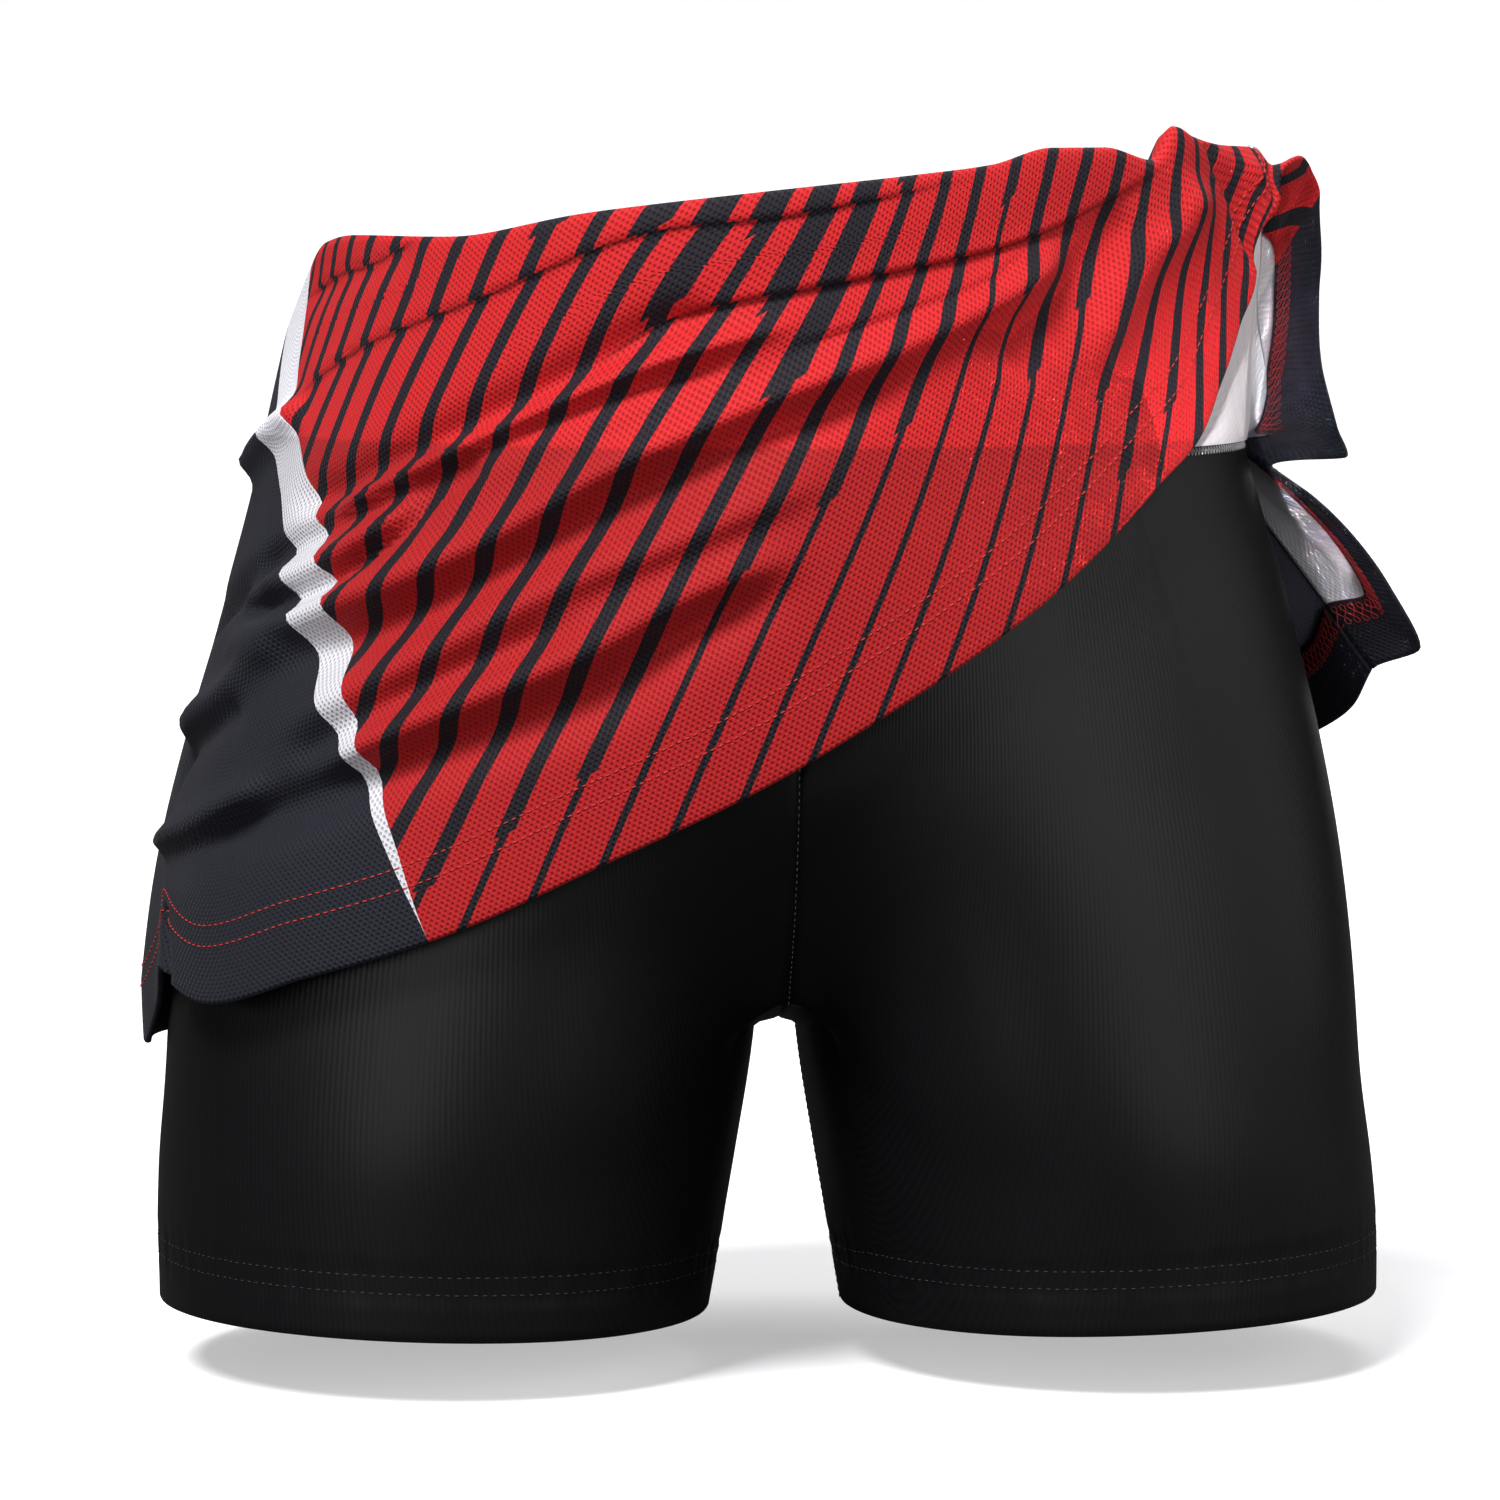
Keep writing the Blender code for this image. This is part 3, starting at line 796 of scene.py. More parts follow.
@dataclass(frozen=True)
class StripedKnit(MeshKnit):
    """The front's print: a field of slanting stripes between two white wedges and black sides.

    The stripes follow a rule of their own. Each starts thin at the hem and steps up twice on
    its way, at a place that swings from stripe to stripe.
    """

    field_colour: Colour = display(200, 34, 38)
    stripe_colour: Colour = display(33, 29, 37)
    white: Colour = display(244, 242, 250)
    pitch: float = 15.5
    slant: float = 42.0
    thin: float = 0.15
    medium: float = 0.32
    wide: float = 0.62
    swing: float = 11.0
    swing_turn: float = 2.1
    thin_top: float = 95.0
    thin_middle: float = 5.0
    thin_fall: float = 15.0
    wide_bottom: float = 112.0
    wide_middle: float = 1.0
    wide_fall: float = 13.0
    shadow_below: float = 0.4
    shadow_width: float = 1.1
    shadow_depth: float = 0.16
    see_through_shade_z: float = 4.0
    see_through_shade_edge: float = 1.0
    see_through_shade: float = 0.68

    def stripes(self, across: Value, along: Value) -> Value:
        """Mark the stripes with 1."""
        angle = math.radians(self.slant)
        beside = (across * math.sin(angle) - along * math.cos(angle)) / self.pitch
        number = beside.floor()
        steady = along + (number * self.swing_turn).sine() * self.swing
        medium_from = self.thin_top - (number - self.thin_middle).size() * self.thin_fall
        wide_from = (number - self.wide_middle).size() * self.wide_fall + self.wide_bottom
        width = self.thin + (steady > medium_from) * (self.medium - self.thin)
        width = width + (steady > wide_from) * (self.wide - self.medium)
        return (beside.fraction() - 0.5).size() < width * 0.5

    def print_and_tuck_shadow(self, graph: Graph, across: Value, along: Value) -> Value:
        """Lay out the print's blocks of colour, out of line below each tuck, with a painted shadow
        along each tuck's line.
        """
        from_tuck, slip = graph.map_parts("tucks")
        slipped = (from_tuck < 0.0) * slip
        stripes = self.stripes(across - slipped, along)
        centre = graph.mix(stripes, self.field_colour, self.stripe_colour)
        from_black, from_white = graph.map_parts("blocks")
        side = graph.mix(from_black - slipped > 0.0, self.colour, self.white)
        whole = graph.mix(from_white - slipped > 0.0, side, centre)
        # Painted shadow: a dark line just below each tuck, deeper where the print slips more.
        near = (1 - (from_tuck + self.shadow_below).size() / self.shadow_width).at_least(0.0)
        return graph.mix(near * slip * self.shadow_depth, whole, DARK)

    def dye_and_shade(self, graph: Graph, across: Value, along: Value) -> Value:
        """Give the print, with painted shade below the waist seam, where the dark shorts show
        through the thin cloth.
        """
        colour = self.print_and_tuck_shadow(graph, across, along)
        # Painted shade: the print darkens below the waist seam, where the dark shorts would show
        # through the thin cloth.
        low = (self.see_through_shade_z - self.see_through_shade_edge) * MM
        high = (self.see_through_shade_z + self.see_through_shade_edge) * MM
        inputs = {0: graph.height(), 1: low, 2: high, 3: 1 - self.see_through_shade, 4: 0.0}
        shade = graph.value("ShaderNodeMapRange", {"interpolation_type": "SMOOTHSTEP"}, inputs)
        return graph.mix(shade, colour, DARK)


@dataclass(frozen=True)
class StripedKnitReverse(StripedKnit):
    """The back of the front's knit: the yarn left white, through which the print shows faintly."""

    yarn: Colour = display(252, 248, 252)
    dusk: Colour = display(122, 126, 150)
    field_show: float = 0.1
    dark_show: float = 0.3
    stripe_share: float = 0.45

    def dye_and_shade(self, graph: Graph, across: Value, along: Value) -> Value:
        """Let the print show through the yarn, its dark parts the most."""
        stripes = self.stripes(across, along)
        pink = graph.mix(self.field_show, self.yarn, self.field_colour)
        lines = graph.mix(self.dark_show * self.stripe_share, self.yarn, self.dusk)
        centre = graph.mix(stripes, pink, lines)
        from_black, from_white = graph.map_parts("blocks")
        shadow = graph.mix(self.dark_show, self.yarn, self.dusk)
        side = graph.mix(from_black > 0.0, shadow, self.yarn)
        return graph.mix(from_white > 0.0, side, centre)


@dataclass(frozen=True)
class Lycra(Finish):
    """Smooth, shiny stretch knit with a fine upright rib."""

    colour: Colour = display(12, 11, 13)
    tint: float = 1.6
    rib: float = 1.4
    rib_share: float = 0.6
    yarns: float = 900.0
    depth: float = 0.07
    uneven: float = 0.16

    def paint(self, graph: Graph, shader: bpy.types.Node) -> None:
        """Give the shader its colour and its rib, with a painted highlight on the rib's raised
        lines that varies with the yarn.
        """
        rib = graph.map_parts("cloth")[0].wave(self.rib) * 0.5 + 0.5
        yarn = graph.noise(Scale=self.yarns, Detail=3.0, Roughness=0.6)
        # Painted highlight on the rib's raised lines, together with the yarn's random unevenness in
        # tone.
        colour = graph.mix(rib * yarn, self.colour, tinted(self.colour, self.tint))
        graph.feed(shader, "Base Color", colour)
        graph.feed(shader, "Roughness", yarn * self.uneven + (self.roughness - self.uneven / 2))
        graph.relief(shader, rib * self.rib_share + yarn * (1 - self.rib_share), self.depth)


@dataclass(frozen=True)
class Elastic(Finish):
    """Woven elastic, black and matt."""

    colour: Colour = display(26, 26, 29)
    tint: float = 2.2
    weft: float = 0.9
    depth: float = 0.15

    def paint(self, graph: Graph, shader: bpy.types.Node) -> None:
        """Give the shader its colour and its weave, lighter on the weave's raised lines as a
        painted highlight.
        """
        weave = graph.height().wave(self.weft * MM) * 0.5 + 0.5
        # Painted highlight: the colour lightens on the weave's raised lines.
        colour = graph.mix(weave, self.colour, tinted(self.colour, self.tint))
        graph.feed(shader, "Base Color", colour)
        graph.relief(shader, weave, self.depth)


@dataclass(frozen=True)
class Thread(Finish):
    """Spun sewing thread."""

    colour: Colour = DARK
    tint: float = 0.55
    fibres: float = 2400.0
    depth: float = 0.08

    def paint(self, graph: Graph, shader: bpy.types.Node) -> None:
        """Give the shader its colour and its fibres."""
        fibres = graph.noise(Scale=self.fibres, Detail=2.0)
        colour = graph.mix(fibres, tinted(self.colour, self.tint), self.colour)
        graph.feed(shader, "Base Color", colour)
        graph.relief(shader, fibres, self.depth)


@dataclass(frozen=True)
class Floor(Finish):
    """The studio's pale floor."""

    colour: Colour = display(222, 222, 224)
    tint: float = 0.985
    grain: float = 3.0
    glow: Colour = (0.42, 0.42, 0.423, 1.0)
    bounce: Colour = (0.04, 0.04, 0.04, 1.0)

    def paint(self, graph: Graph, shader: bpy.types.Node) -> None:
        """Give the shader an even colour and a glow, which hardly light the garment."""
        grain = graph.noise(Scale=self.grain)
        paint = graph.mix(grain, tinted(self.colour, self.tint), self.colour)
        to_camera = graph.from_camera()
        graph.feed(shader, "Base Color", graph.mix(to_camera, self.bounce, paint))
        graph.feed(shader, "Emission Color", graph.mix(to_camera, DARK, self.glow))
        shader.inputs["Emission Strength"].default_value = 1.0


PRINTED = StripedKnit("printed_mesh_face", roughness=0.6, specular=0.16, sheen=0.05)
PRINTED_REVERSE = StripedKnitReverse(
    "printed_mesh_reverse", roughness=0.75, specular=0.15, depth=0.14, pit_shade=0.12
)
BLACK = MeshKnit("black_mesh_face", roughness=0.6, specular=0.16, sheen=0.05)
BLACK_REVERSE = MeshKnit(
    "black_mesh_reverse", roughness=0.75, specular=0.15, colour=display(150, 151, 172)
)
LYCRA = Lycra("lycra_knit", roughness=0.4, specular=0.22)
ELASTIC = Elastic("woven_elastic", roughness=0.8, specular=0.25, sheen=0.1)
RED_THREAD = Thread("red_thread", roughness=0.55, colour=display(214, 52, 42))
# Painted shade: a darker copy of the red thread, for the loops that lie inside the hem.
SHADED_LOOPER_THREAD = Thread("shaded_looper_thread", roughness=0.55, colour=display(176, 26, 26))
GREY_THREAD = Thread("grey_thread", roughness=0.55, colour=display(128, 128, 130))
PALE_THREAD = Thread("pale_thread", roughness=0.6, colour=display(196, 196, 200))
BLACK_THREAD = Thread("black_thread", roughness=0.4, colour=display(52, 51, 55))
FLOOR = Floor("studio_floor", roughness=0.9, specular=0.1)


# ---------------------------------------------------------------------------------------------
# Meshes


@dataclass
class Line:
    """A line on the cloth for thread to follow, with its two directions at each point."""

    points: np.ndarray
    across: np.ndarray
    out: np.ndarray
    closed: bool = False

    def lifted(self, height: float) -> "Line":
        """Return the line raised off the cloth, in metres."""
        return Line(self.points + self.out * height, self.across, self.out, self.closed)


def add(name: str, data: bpy.types.ID) -> bpy.types.Object:
    """Put a mesh, a light or a camera in the scene as an object of that name."""
    data.name = name
    made = bpy.data.objects.new(name, data)
    bpy.context.scene.collection.objects.link(made)
    return made


def grid_faces(rows: int, columns: int, closed: bool = False) -> np.ndarray:
    """Number the corners of the squares of a grid of points.

    Args:
        rows: How many rows of points there are.
        columns: How many points a row has.
        closed: True where the last column joins the first.

    Returns:
        The squares. Their normals are along the columns' direction crossed with the rows'.
    """
    row = np.arange(rows - 1)[:, None] * columns
    column = np.arange(columns if closed else columns - 1)[None, :]
    corner, beside = row + column, row + (column + 1) % columns
    return np.stack([corner, corner + columns, beside + columns, beside], axis=-1).reshape(-1, 4)


def surface(
    name: str,
    points: np.ndarray,
    faces: np.ndarray,
    maps: dict[str, np.ndarray],
    finishes: Sequence[Finish],
) -> bpy.types.Object:
    """Make one open surface.

    Args:
        name: The object's name.
        points: Its points, in millimetres.
        faces: The four corners of each square, as numbers of points.
        maps: UV maps by name, with two millimetre measures for each point.
        finishes: The finishes of its slots, the face's first.

    Returns:
        The new object.
    """
    mesh = bpy.data.meshes.new(name)
    mesh.from_pydata((points.reshape(-1, 3) * MM).tolist(), [], faces.tolist())
    corners = np.empty(len(mesh.loops), dtype=np.int32)
    mesh.loops.foreach_get("vertex_index", corners)
    for map_name, values in maps.items():
        layer = mesh.uv_layers.new(name=map_name)
        layer.data.foreach_set("uv", (values.reshape(-1, 2) * MM)[corners].ravel())
    for finish in finishes:
        mesh.materials.append(finish.material())
    mesh.shade_smooth()
    return add(name, mesh)


def rolled(
    edge: np.ndarray, down: np.ndarray, normals: np.ndarray, radius: float, angles: np.ndarray
) -> np.ndarray:
    """Roll a hem in.

    Args:
        edge: The points of the hem's edge.
        down: The cloth's direction at each.
        normals: The cloth's normal at each.
        radius: The roll's radius.
        angles: How far round the roll each new row of points is, in radians.

    Returns:
        The rows of the roll.
    """
    rows = [
        edge + down * radius * math.sin(angle) - normals * radius * (1 - math.cos(angle))
        for angle in angles
    ]
    return np.stack(rows)


def thicken(piece: bpy.types.Object, wall: float, slot_step: int) -> None:
    """Give a sheet its wall, on the side away from its face.

    Args:
        piece: The sheet.
        wall: The wall's thickness, in millimetres.
        slot_step: How many slots after the face's the reverse side's material is.
    """
    solidify = piece.modifiers.new("Wall", "SOLIDIFY")
    solidify.thickness = wall * MM
    solidify.offset = -1
    solidify.material_offset = slot_step
    solidify.material_offset_rim = 0


def settle(piece: bpy.types.Object, nodes: Sequence[str] = ()) -> None:
    """Make a finished piece ride on the part's body, hide the solids it stands for, and log its
    vertex count.
    """
    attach(piece, "root")
    if nodes:
        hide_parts(*nodes)
    LOG.info("%s: %d vertices", piece.name, len(piece.data.vertices))


# ---------------------------------------------------------------------------------------------
# Thread, by Geometry Nodes


class ThreadPath(Enum):
    """What a thread does along its line."""

    DASHES = "dashes"
    LOOPS = "loops"
    ZIGZAG = "zigzag"


# How many points a strand has in each pitch, and how far it leans back there, in pitches
STRANDS = {ThreadPath.LOOPS: (12.0, 0.45), ThreadPath.ZIGZAG: (6.0, 0.0)}
# The inputs of every sewing tree, and their kinds
SEWING_INPUTS = {
    "Geometry": "Geometry", "Pitch": "Float", "Reach": "Float", "Dash": "Float",
    "Radius": "Float", "Sides": "Int", "Material": "Material",
}


@dataclass
class Sewing:
    """One kind of stitch, worked along lines by a Geometry Nodes tree. Sizes in millimetres."""

    path: ThreadPath
    pitch: float
    thread: float
    finish: Finish
    reach: float = 0.0
    dash: float = 0.8
    sides: int = 5
    rise: float = 0.6
    rise_lead: float = 1.6

    def tree(self) -> bpy.types.NodeTree:
        """Make this stitch's tree, or find it if it is made already."""
        name = f"sew_{self.path.value}"
        found = bpy.data.node_groups.get(name)
        if found is not None:
            return found
        made = bpy.data.node_groups.new(name, "GeometryNodeTree")
        for socket, kind in SEWING_INPUTS.items():
            made.interface.new_socket(socket, in_out="INPUT", socket_type="NodeSocket" + kind)
        made.interface.new_socket("Geometry", in_out="OUTPUT", socket_type="NodeSocketGeometry")
        graph = Graph(made)
        given = graph.node("NodeGroupInput")
        asked = {socket.name: Value(graph, socket) for socket in given.outputs if socket.name}
        curve = graph.value("GeometryNodeMeshToCurve", None, {"Mesh": asked["Geometry"]})
        if self.path is ThreadPath.DASHES:
            sewn = self.dashes(graph, asked, curve)
        else:
            sewn = self.strand(graph, asked, curve)
        smooth = graph.value("GeometryNodeSetShadeSmooth", None, {"Geometry": sewn})
        whole = graph.value("GeometryNodeRealizeInstances", None, {"Geometry": smooth})
        inputs = {"Geometry": whole, "Material": asked["Material"]}
        dressed = graph.value("GeometryNodeSetMaterial", None, inputs)
        graph.node("NodeGroupOutput", None, {"Geometry": dressed})
        return made

    def dashes(self, graph: Graph, asked: dict[str, Value], curve: Value) -> Value:
        """Lay one short straight stitch at each pitch."""
        inputs = {"Curve": curve, "Length": asked["Pitch"]}
        spaced = graph.value("GeometryNodeResampleCurve", {"mode": "LENGTH"}, inputs)
        ball = graph.value("GeometryNodeMeshIcoSphere", None, {"Radius": 1.0, "Subdivisions": 1})
        tangent = graph.value("GeometryNodeInputTangent")
        settings, inputs = {"axis": "X"}, {"Vector": tangent}
        turned = graph.value("FunctionNodeAlignRotationToVector", settings, inputs)
        half = asked["Pitch"] * asked["Dash"] * 0.5
        sizes = {0: half, 1: asked["Radius"], 2: asked["Radius"]}
        stretch = graph.value("ShaderNodeCombineXYZ", None, sizes)
        inputs = {"Points": spaced, "Instance": ball, "Rotation": turned, "Scale": stretch}
        return graph.value("GeometryNodeInstanceOnPoints", None, inputs)

    def strand(self, graph: Graph, asked: dict[str, Value], curve: Value) -> Value:
        """Run one thread from side to side of its line, in loops or in a zigzag."""
        points_per_pitch, lean = STRANDS[self.path]
        inputs = {"Curve": curve, "Length": asked["Pitch"] / points_per_pitch}
        spaced = graph.value("GeometryNodeResampleCurve", {"mode": "LENGTH"}, inputs)
        along = graph.value("GeometryNodeSplineParameter", None, None, "Length")
        phase = along * (2 * math.pi) / asked["Pitch"]
        settings = {"data_type": "FLOAT_VECTOR"}
        across, out = (
            graph.value("GeometryNodeInputNamedAttribute", settings, {"Name": name})
            for name in ("across", "out")
        )
        tangent = graph.value("GeometryNodeInputTangent")
        side = phase.sine() * asked["Reach"]
        back = (phase * 2.0).sine() * asked["Pitch"] * lean
        rise = (phase * 2.0 + self.rise_lead).sine() * asked["Radius"] * self.rise
        shift, leant, lift = (
            graph.vector_maths("SCALE", {0: way, "Scale": size})
            for way, size in ((across, side), (tangent, back), (out, rise))
        )
        offset = graph.vector_maths("ADD", {0: shift, 1: leant})
        offset = graph.vector_maths("ADD", {0: offset, 1: lift})
        inputs = {"Geometry": spaced, "Offset": offset}
        moved = graph.value("GeometryNodeSetPosition", None, inputs)
        inputs = {"Resolution": asked["Sides"], "Radius": asked["Radius"]}
        ring = graph.value("GeometryNodeCurvePrimitiveCircle", None, inputs)
        inputs = {"Curve": moved, "Profile Curve": ring, "Fill Caps": True}
        return graph.value("GeometryNodeCurveToMesh", None, inputs)

    def work(self, name: str, lines: Sequence[Line]) -> bpy.types.Object:
        """Sew along lines.

        Args:
            name: The new piece's name.
            lines: The lines, in metres.

        Returns:
            One plain mesh object that holds all the thread.
        """
        guide = bpy.data.meshes.new(name + "_guide")
        points = np.concatenate([line.points for line in lines])
        edges = []
        start = 0
        for line in lines:
            count = len(line.points)
            edges += [(start + step, start + step + 1) for step in range(count - 1)]
            if line.closed:
                edges.append((start + count - 1, start))
            start += count
        guide.from_pydata(points.tolist(), edges, [])
        for kind in ("across", "out"):
            values = np.concatenate([getattr(line, kind) for line in lines])
            layer = guide.attributes.new(kind, "FLOAT_VECTOR", "POINT")
            layer.data.foreach_set("vector", values.ravel().astype(np.float32))
        carrier = add(name + "_guide", guide)
        modifier = carrier.modifiers.new("Sewing", "NODES")
        modifier.node_group = self.tree()
        sizes = {
            "Pitch": self.pitch * MM,
            "Reach": self.reach * MM,
            "Dash": self.dash,
            "Radius": self.thread / 2 * MM,
            "Sides": self.sides,
            "Material": self.finish.material(),
        }
        for socket in modifier.node_group.interface.items_tree:
            if socket.in_out == "INPUT" and socket.name in sizes:
                modifier[socket.identifier] = sizes[socket.name]
        graph = bpy.context.evaluated_depsgraph_get()
        mesh = bpy.data.meshes.new_from_object(carrier.evaluated_get(graph))
        bpy.data.objects.remove(carrier)
        return add(name, mesh)


HEM_NEEDLES = Sewing(ThreadPath.DASHES, 2.6, 0.5, RED_THREAD)
HEM_LOOPERS = Sewing(ThreadPath.LOOPS, 2.8, 0.36, SHADED_LOOPER_THREAD, reach=3.8, sides=4)
LEG_NEEDLES = Sewing(ThreadPath.DASHES, 2.9, 0.34, BLACK_THREAD, dash=0.6)
SEAM_NEEDLES = Sewing(ThreadPath.DASHES, 2.3, 0.3, GREY_THREAD, dash=0.62)
OVERLOCK = Sewing(ThreadPath.ZIGZAG, 1.8, 0.3, PALE_THREAD, reach=1.1, sides=4)


# ---------------------------------------------------------------------------------------------
# The skirt


@dataclass
class SkirtPanel:
    """One panel of the skirt, front or back, with its hem turned in and sewn."""

    node: str
    slot: str
    first_seam: float
    last_seam: float
    face: Finish
    reverse: Finish
    held: Held
    flat: tuple[float, float]
    area: float
    form: SkirtForm
    columns_per_step: int = 4
    wall: float = 0.85
    seam_gap: float = 0.02
    seam_dip: float = 0.35
    seam_ease: float = 6.0
    inner_rows: int = 14
    outer_rows: int = 90
    hem_row: float = 2.0
    hem_depth: float = 25.0
    hem_roll: float = 1.0
    roll_steps: int = 4
    needle_lines: tuple[float, float] = (16.6, 23.0)
    needle_lift: float = 0.14
    looper_lift: float = 0.2
    pinches: tuple[tuple[float, float], ...] = ((60.0, 79.0), (97.5, 103.5))
    wedge_seams: tuple[float, float] = (-64.0, 81.0)
    wedge: SmoothTable = field(default_factory=lambda: SmoothTable(WEDGE))

    @property
    def hem_rows(self) -> int:
        """Count the rows on the depth of the hem."""
        return int(self.hem_depth / self.hem_row) + 1

    @property
    def is_front(self) -> bool:
        """Tell the front panel, which doesn't cross the centre back."""
        return self.first_seam < self.last_seam

    def seams(self) -> np.ndarray:
        """List the columns' places on the waist seam."""
        places = []
        for row, following in zip(SKIRT, SKIRT[1:]):
            count = int(row.steps) * self.columns_per_step
            places += list(np.linspace(row.seam, following.seam, count, endpoint=False))
        places = np.array(places)
        after, before = places >= self.first_seam, places <= self.last_seam
        if self.is_front:
            return places[after & before]
        return np.concatenate([places[after], places[before]])

    def spaced(self, whole: np.ndarray, crest: np.ndarray) -> np.ndarray:
        """Space the rows of the grid, closely at the hem.

        Args:
            whole: Each column's length of cloth, from the hem to the waist seam.
            crest: Its length from the hem to the crest.

        Returns:
            How far up from the hem each place is, columns by rows from the waist seam down.
        """
        hem = np.linspace(self.hem_depth, 0, self.hem_rows)
        inner = np.linspace(0, 1, self.inner_rows, endpoint=False)
        outer = np.linspace(0, 1, self.outer_rows, endpoint=False)
        spans = [
            whole[:, None] + (crest - whole)[:, None] * inner,
            crest[:, None] + (self.hem_depth - crest)[:, None] * outer,
            np.broadcast_to(hem, (len(whole), self.hem_rows)),
        ]
        return np.concatenate(spans, axis=1)

    def draw_to_seams(self, points: np.ndarray) -> None:
        """Draw the panel's two side edges in, and sink them on the outer cloth."""
        past_crest = (np.arange(len(points)) - self.inner_rows) / self.seam_ease
        sunk = grid_normals(points) * (self.seam_dip * smooth_step(past_crest))[:, None, None]
        for edge, inside in ((0, 1), (-1, -2)):
            inward = unit(points[:, inside] - points[:, edge])
            points[:, edge] += inward * self.seam_gap - sunk[:, edge]

    def lay_out(self) -> None:
        """Work out the panel's grid: its points, its normals and its flat measures."""
        form = self.form
        seams = self.seams()
        steps, dense = form.sampled(seams)
        bare = form.trunk.place(*np.moveaxis(dense, -1, 0))
        lengths = np.linalg.norm(np.diff(bare, axis=1), axis=2)
        from_hem = np.zeros(bare.shape[:2])
        from_hem[:, :-1] = np.cumsum(lengths[:, ::-1], axis=1)[:, ::-1]
        crest = np.array([np.interp(form.crest_knot, steps, row) for row in from_hem])
        up = self.spaced(from_hem[:, 0], crest)
        t = np.stack([np.interp(-up[c], -from_hem[c], steps) for c in range(len(seams))])
        points, tuck = (part.transpose(1, 0, 2) for part in form.points(seams, t))
        self.draw_to_seams(points)
        self.normals = grid_normals(points)
        self.points = points
        self.up = up.T
        hem_steps = np.linalg.norm(np.diff(bare[:, -1], axis=0), axis=1)
        across = np.concatenate([[0], np.cumsum(hem_steps)])
        ends = (0.0, across[-1])
        tips = np.interp(self.wedge_seams, seams, across) if self.is_front else ends
        self.across = across - tips[0] - tuck[..., 2]
        self.tuck = tuck[..., :2]
        self.right_tip = tips[1] - tips[0]

    def blocks(self, across: np.ndarray, up: np.ndarray) -> np.ndarray:
        """Measure how far each place is inside the black sides' edge and the white wedges'."""
        nearest = np.minimum(across, self.right_tip - across)
        edges = self.wedge.at(up)
        return np.stack([nearest - edges.outer, nearest - edges.inner], axis=-1)

    def build(self) -> bpy.types.Object:
        """Make the panel's shell."""
        self.lay_out()
        down = unit(self.points[-1] - self.points[-2])
        angles = np.linspace(0, math.pi, self.roll_steps + 1)[1:]
        roll = rolled(self.points[-1], down, self.normals[-1], self.hem_roll, angles)
        inside = slice(-2, -self.hem_rows - 1, -1)
        turned = self.points[inside] - self.normals[inside] * 2 * self.hem_roll
        below = -np.outer(angles * self.hem_roll, np.ones(self.up.shape[1]))
        up = np.concatenate([self.up, below, -self.up[inside]])
        hidden = (len(up) - len(self.up), up.shape[1])
        across = np.concatenate([self.across, np.broadcast_to(self.across[-1], hidden)])
        maps = {
            "cloth": np.stack([across, up], axis=-1),
            "blocks": self.blocks(across, up),
            "tucks": np.concatenate([self.tuck, np.broadcast_to(self.tuck[-1], (*hidden, 2))]),
        }
        points = np.concatenate([self.points, roll, turned])
        faces = grid_faces(*up.shape)
        piece = surface(self.node + "_cloth", points, faces, maps, (self.face, self.reverse))
        thicken(piece, self.wall, 1)
        settle(piece, [self.node])
        return piece

    def hem_line(self, up: float, reverse: bool = False) -> Line:
        """Follow the cloth at a distance up from the hem, on its face or on its turned-in side."""
        row = int(np.argmin(np.abs(self.up[:, 0] - up)))
        towards = row + (1 if self.up[row, 0] > up else -1)
        share = (self.up[row, 0] - up) / (self.up[row, 0] - self.up[towards, 0])
        points = self.points[row] * (1 - share) + self.points[towards] * share
        out = self.normals[row]
        if reverse:
            out = -out
            points = points + out * 2 * self.hem_roll
        across = unit(self.points[row - 1] - self.points[row])
        return Line(points * MM, across, out)

    def open_runs(self, line: Line) -> list[Line]:
        """Leave out of a line the places where the hem is pinched too sharply for it."""
        seams = self.seams()
        pinched = np.zeros(len(seams), dtype=bool)
        for first, last in self.pinches:
            pinched |= (seams > first) & (seams < last)
        changes = np.flatnonzero(np.diff(pinched)) + 1
        runs = np.split(np.arange(len(seams)), changes)
        return [
            Line(line.points[run], line.across[run], line.out[run])
            for run in runs
            if not pinched[run[0]]
        ]

    def sew(self) -> list[bpy.types.Object]:
        """Sew the hem: two needle lines on the face, and their looped thread inside."""
        lines = [self.hem_line(up).lifted(self.needle_lift * MM) for up in self.needle_lines]
        outside = HEM_NEEDLES.work(self.node + "_hem_stitches", lines)
        line = self.hem_line(sum(self.needle_lines) / 2, True).lifted(self.looper_lift * MM)
        inside = HEM_LOOPERS.work(self.node + "_hem_loopers", self.open_runs(line))
        for piece in (outside, inside):
            settle(piece)
        return [outside, inside]

    def declare(self, piece: bpy.types.Object, sewn: Sequence[bpy.types.Object]) -> None:
        """Do nothing: the panel's cut is not stated."""


# ---------------------------------------------------------------------------------------------
# The shorts


class Ripple(NamedTuple):
    """One of the waves that sewing leaves round a hem: how many, how high, and where."""

    count: int
    height: float
    phase: float


RIPPLES = [Ripple(61, 1.0, 0.0), Ripple(37, 0.6, 1.0), Ripple(89, 0.4, 2.0)]


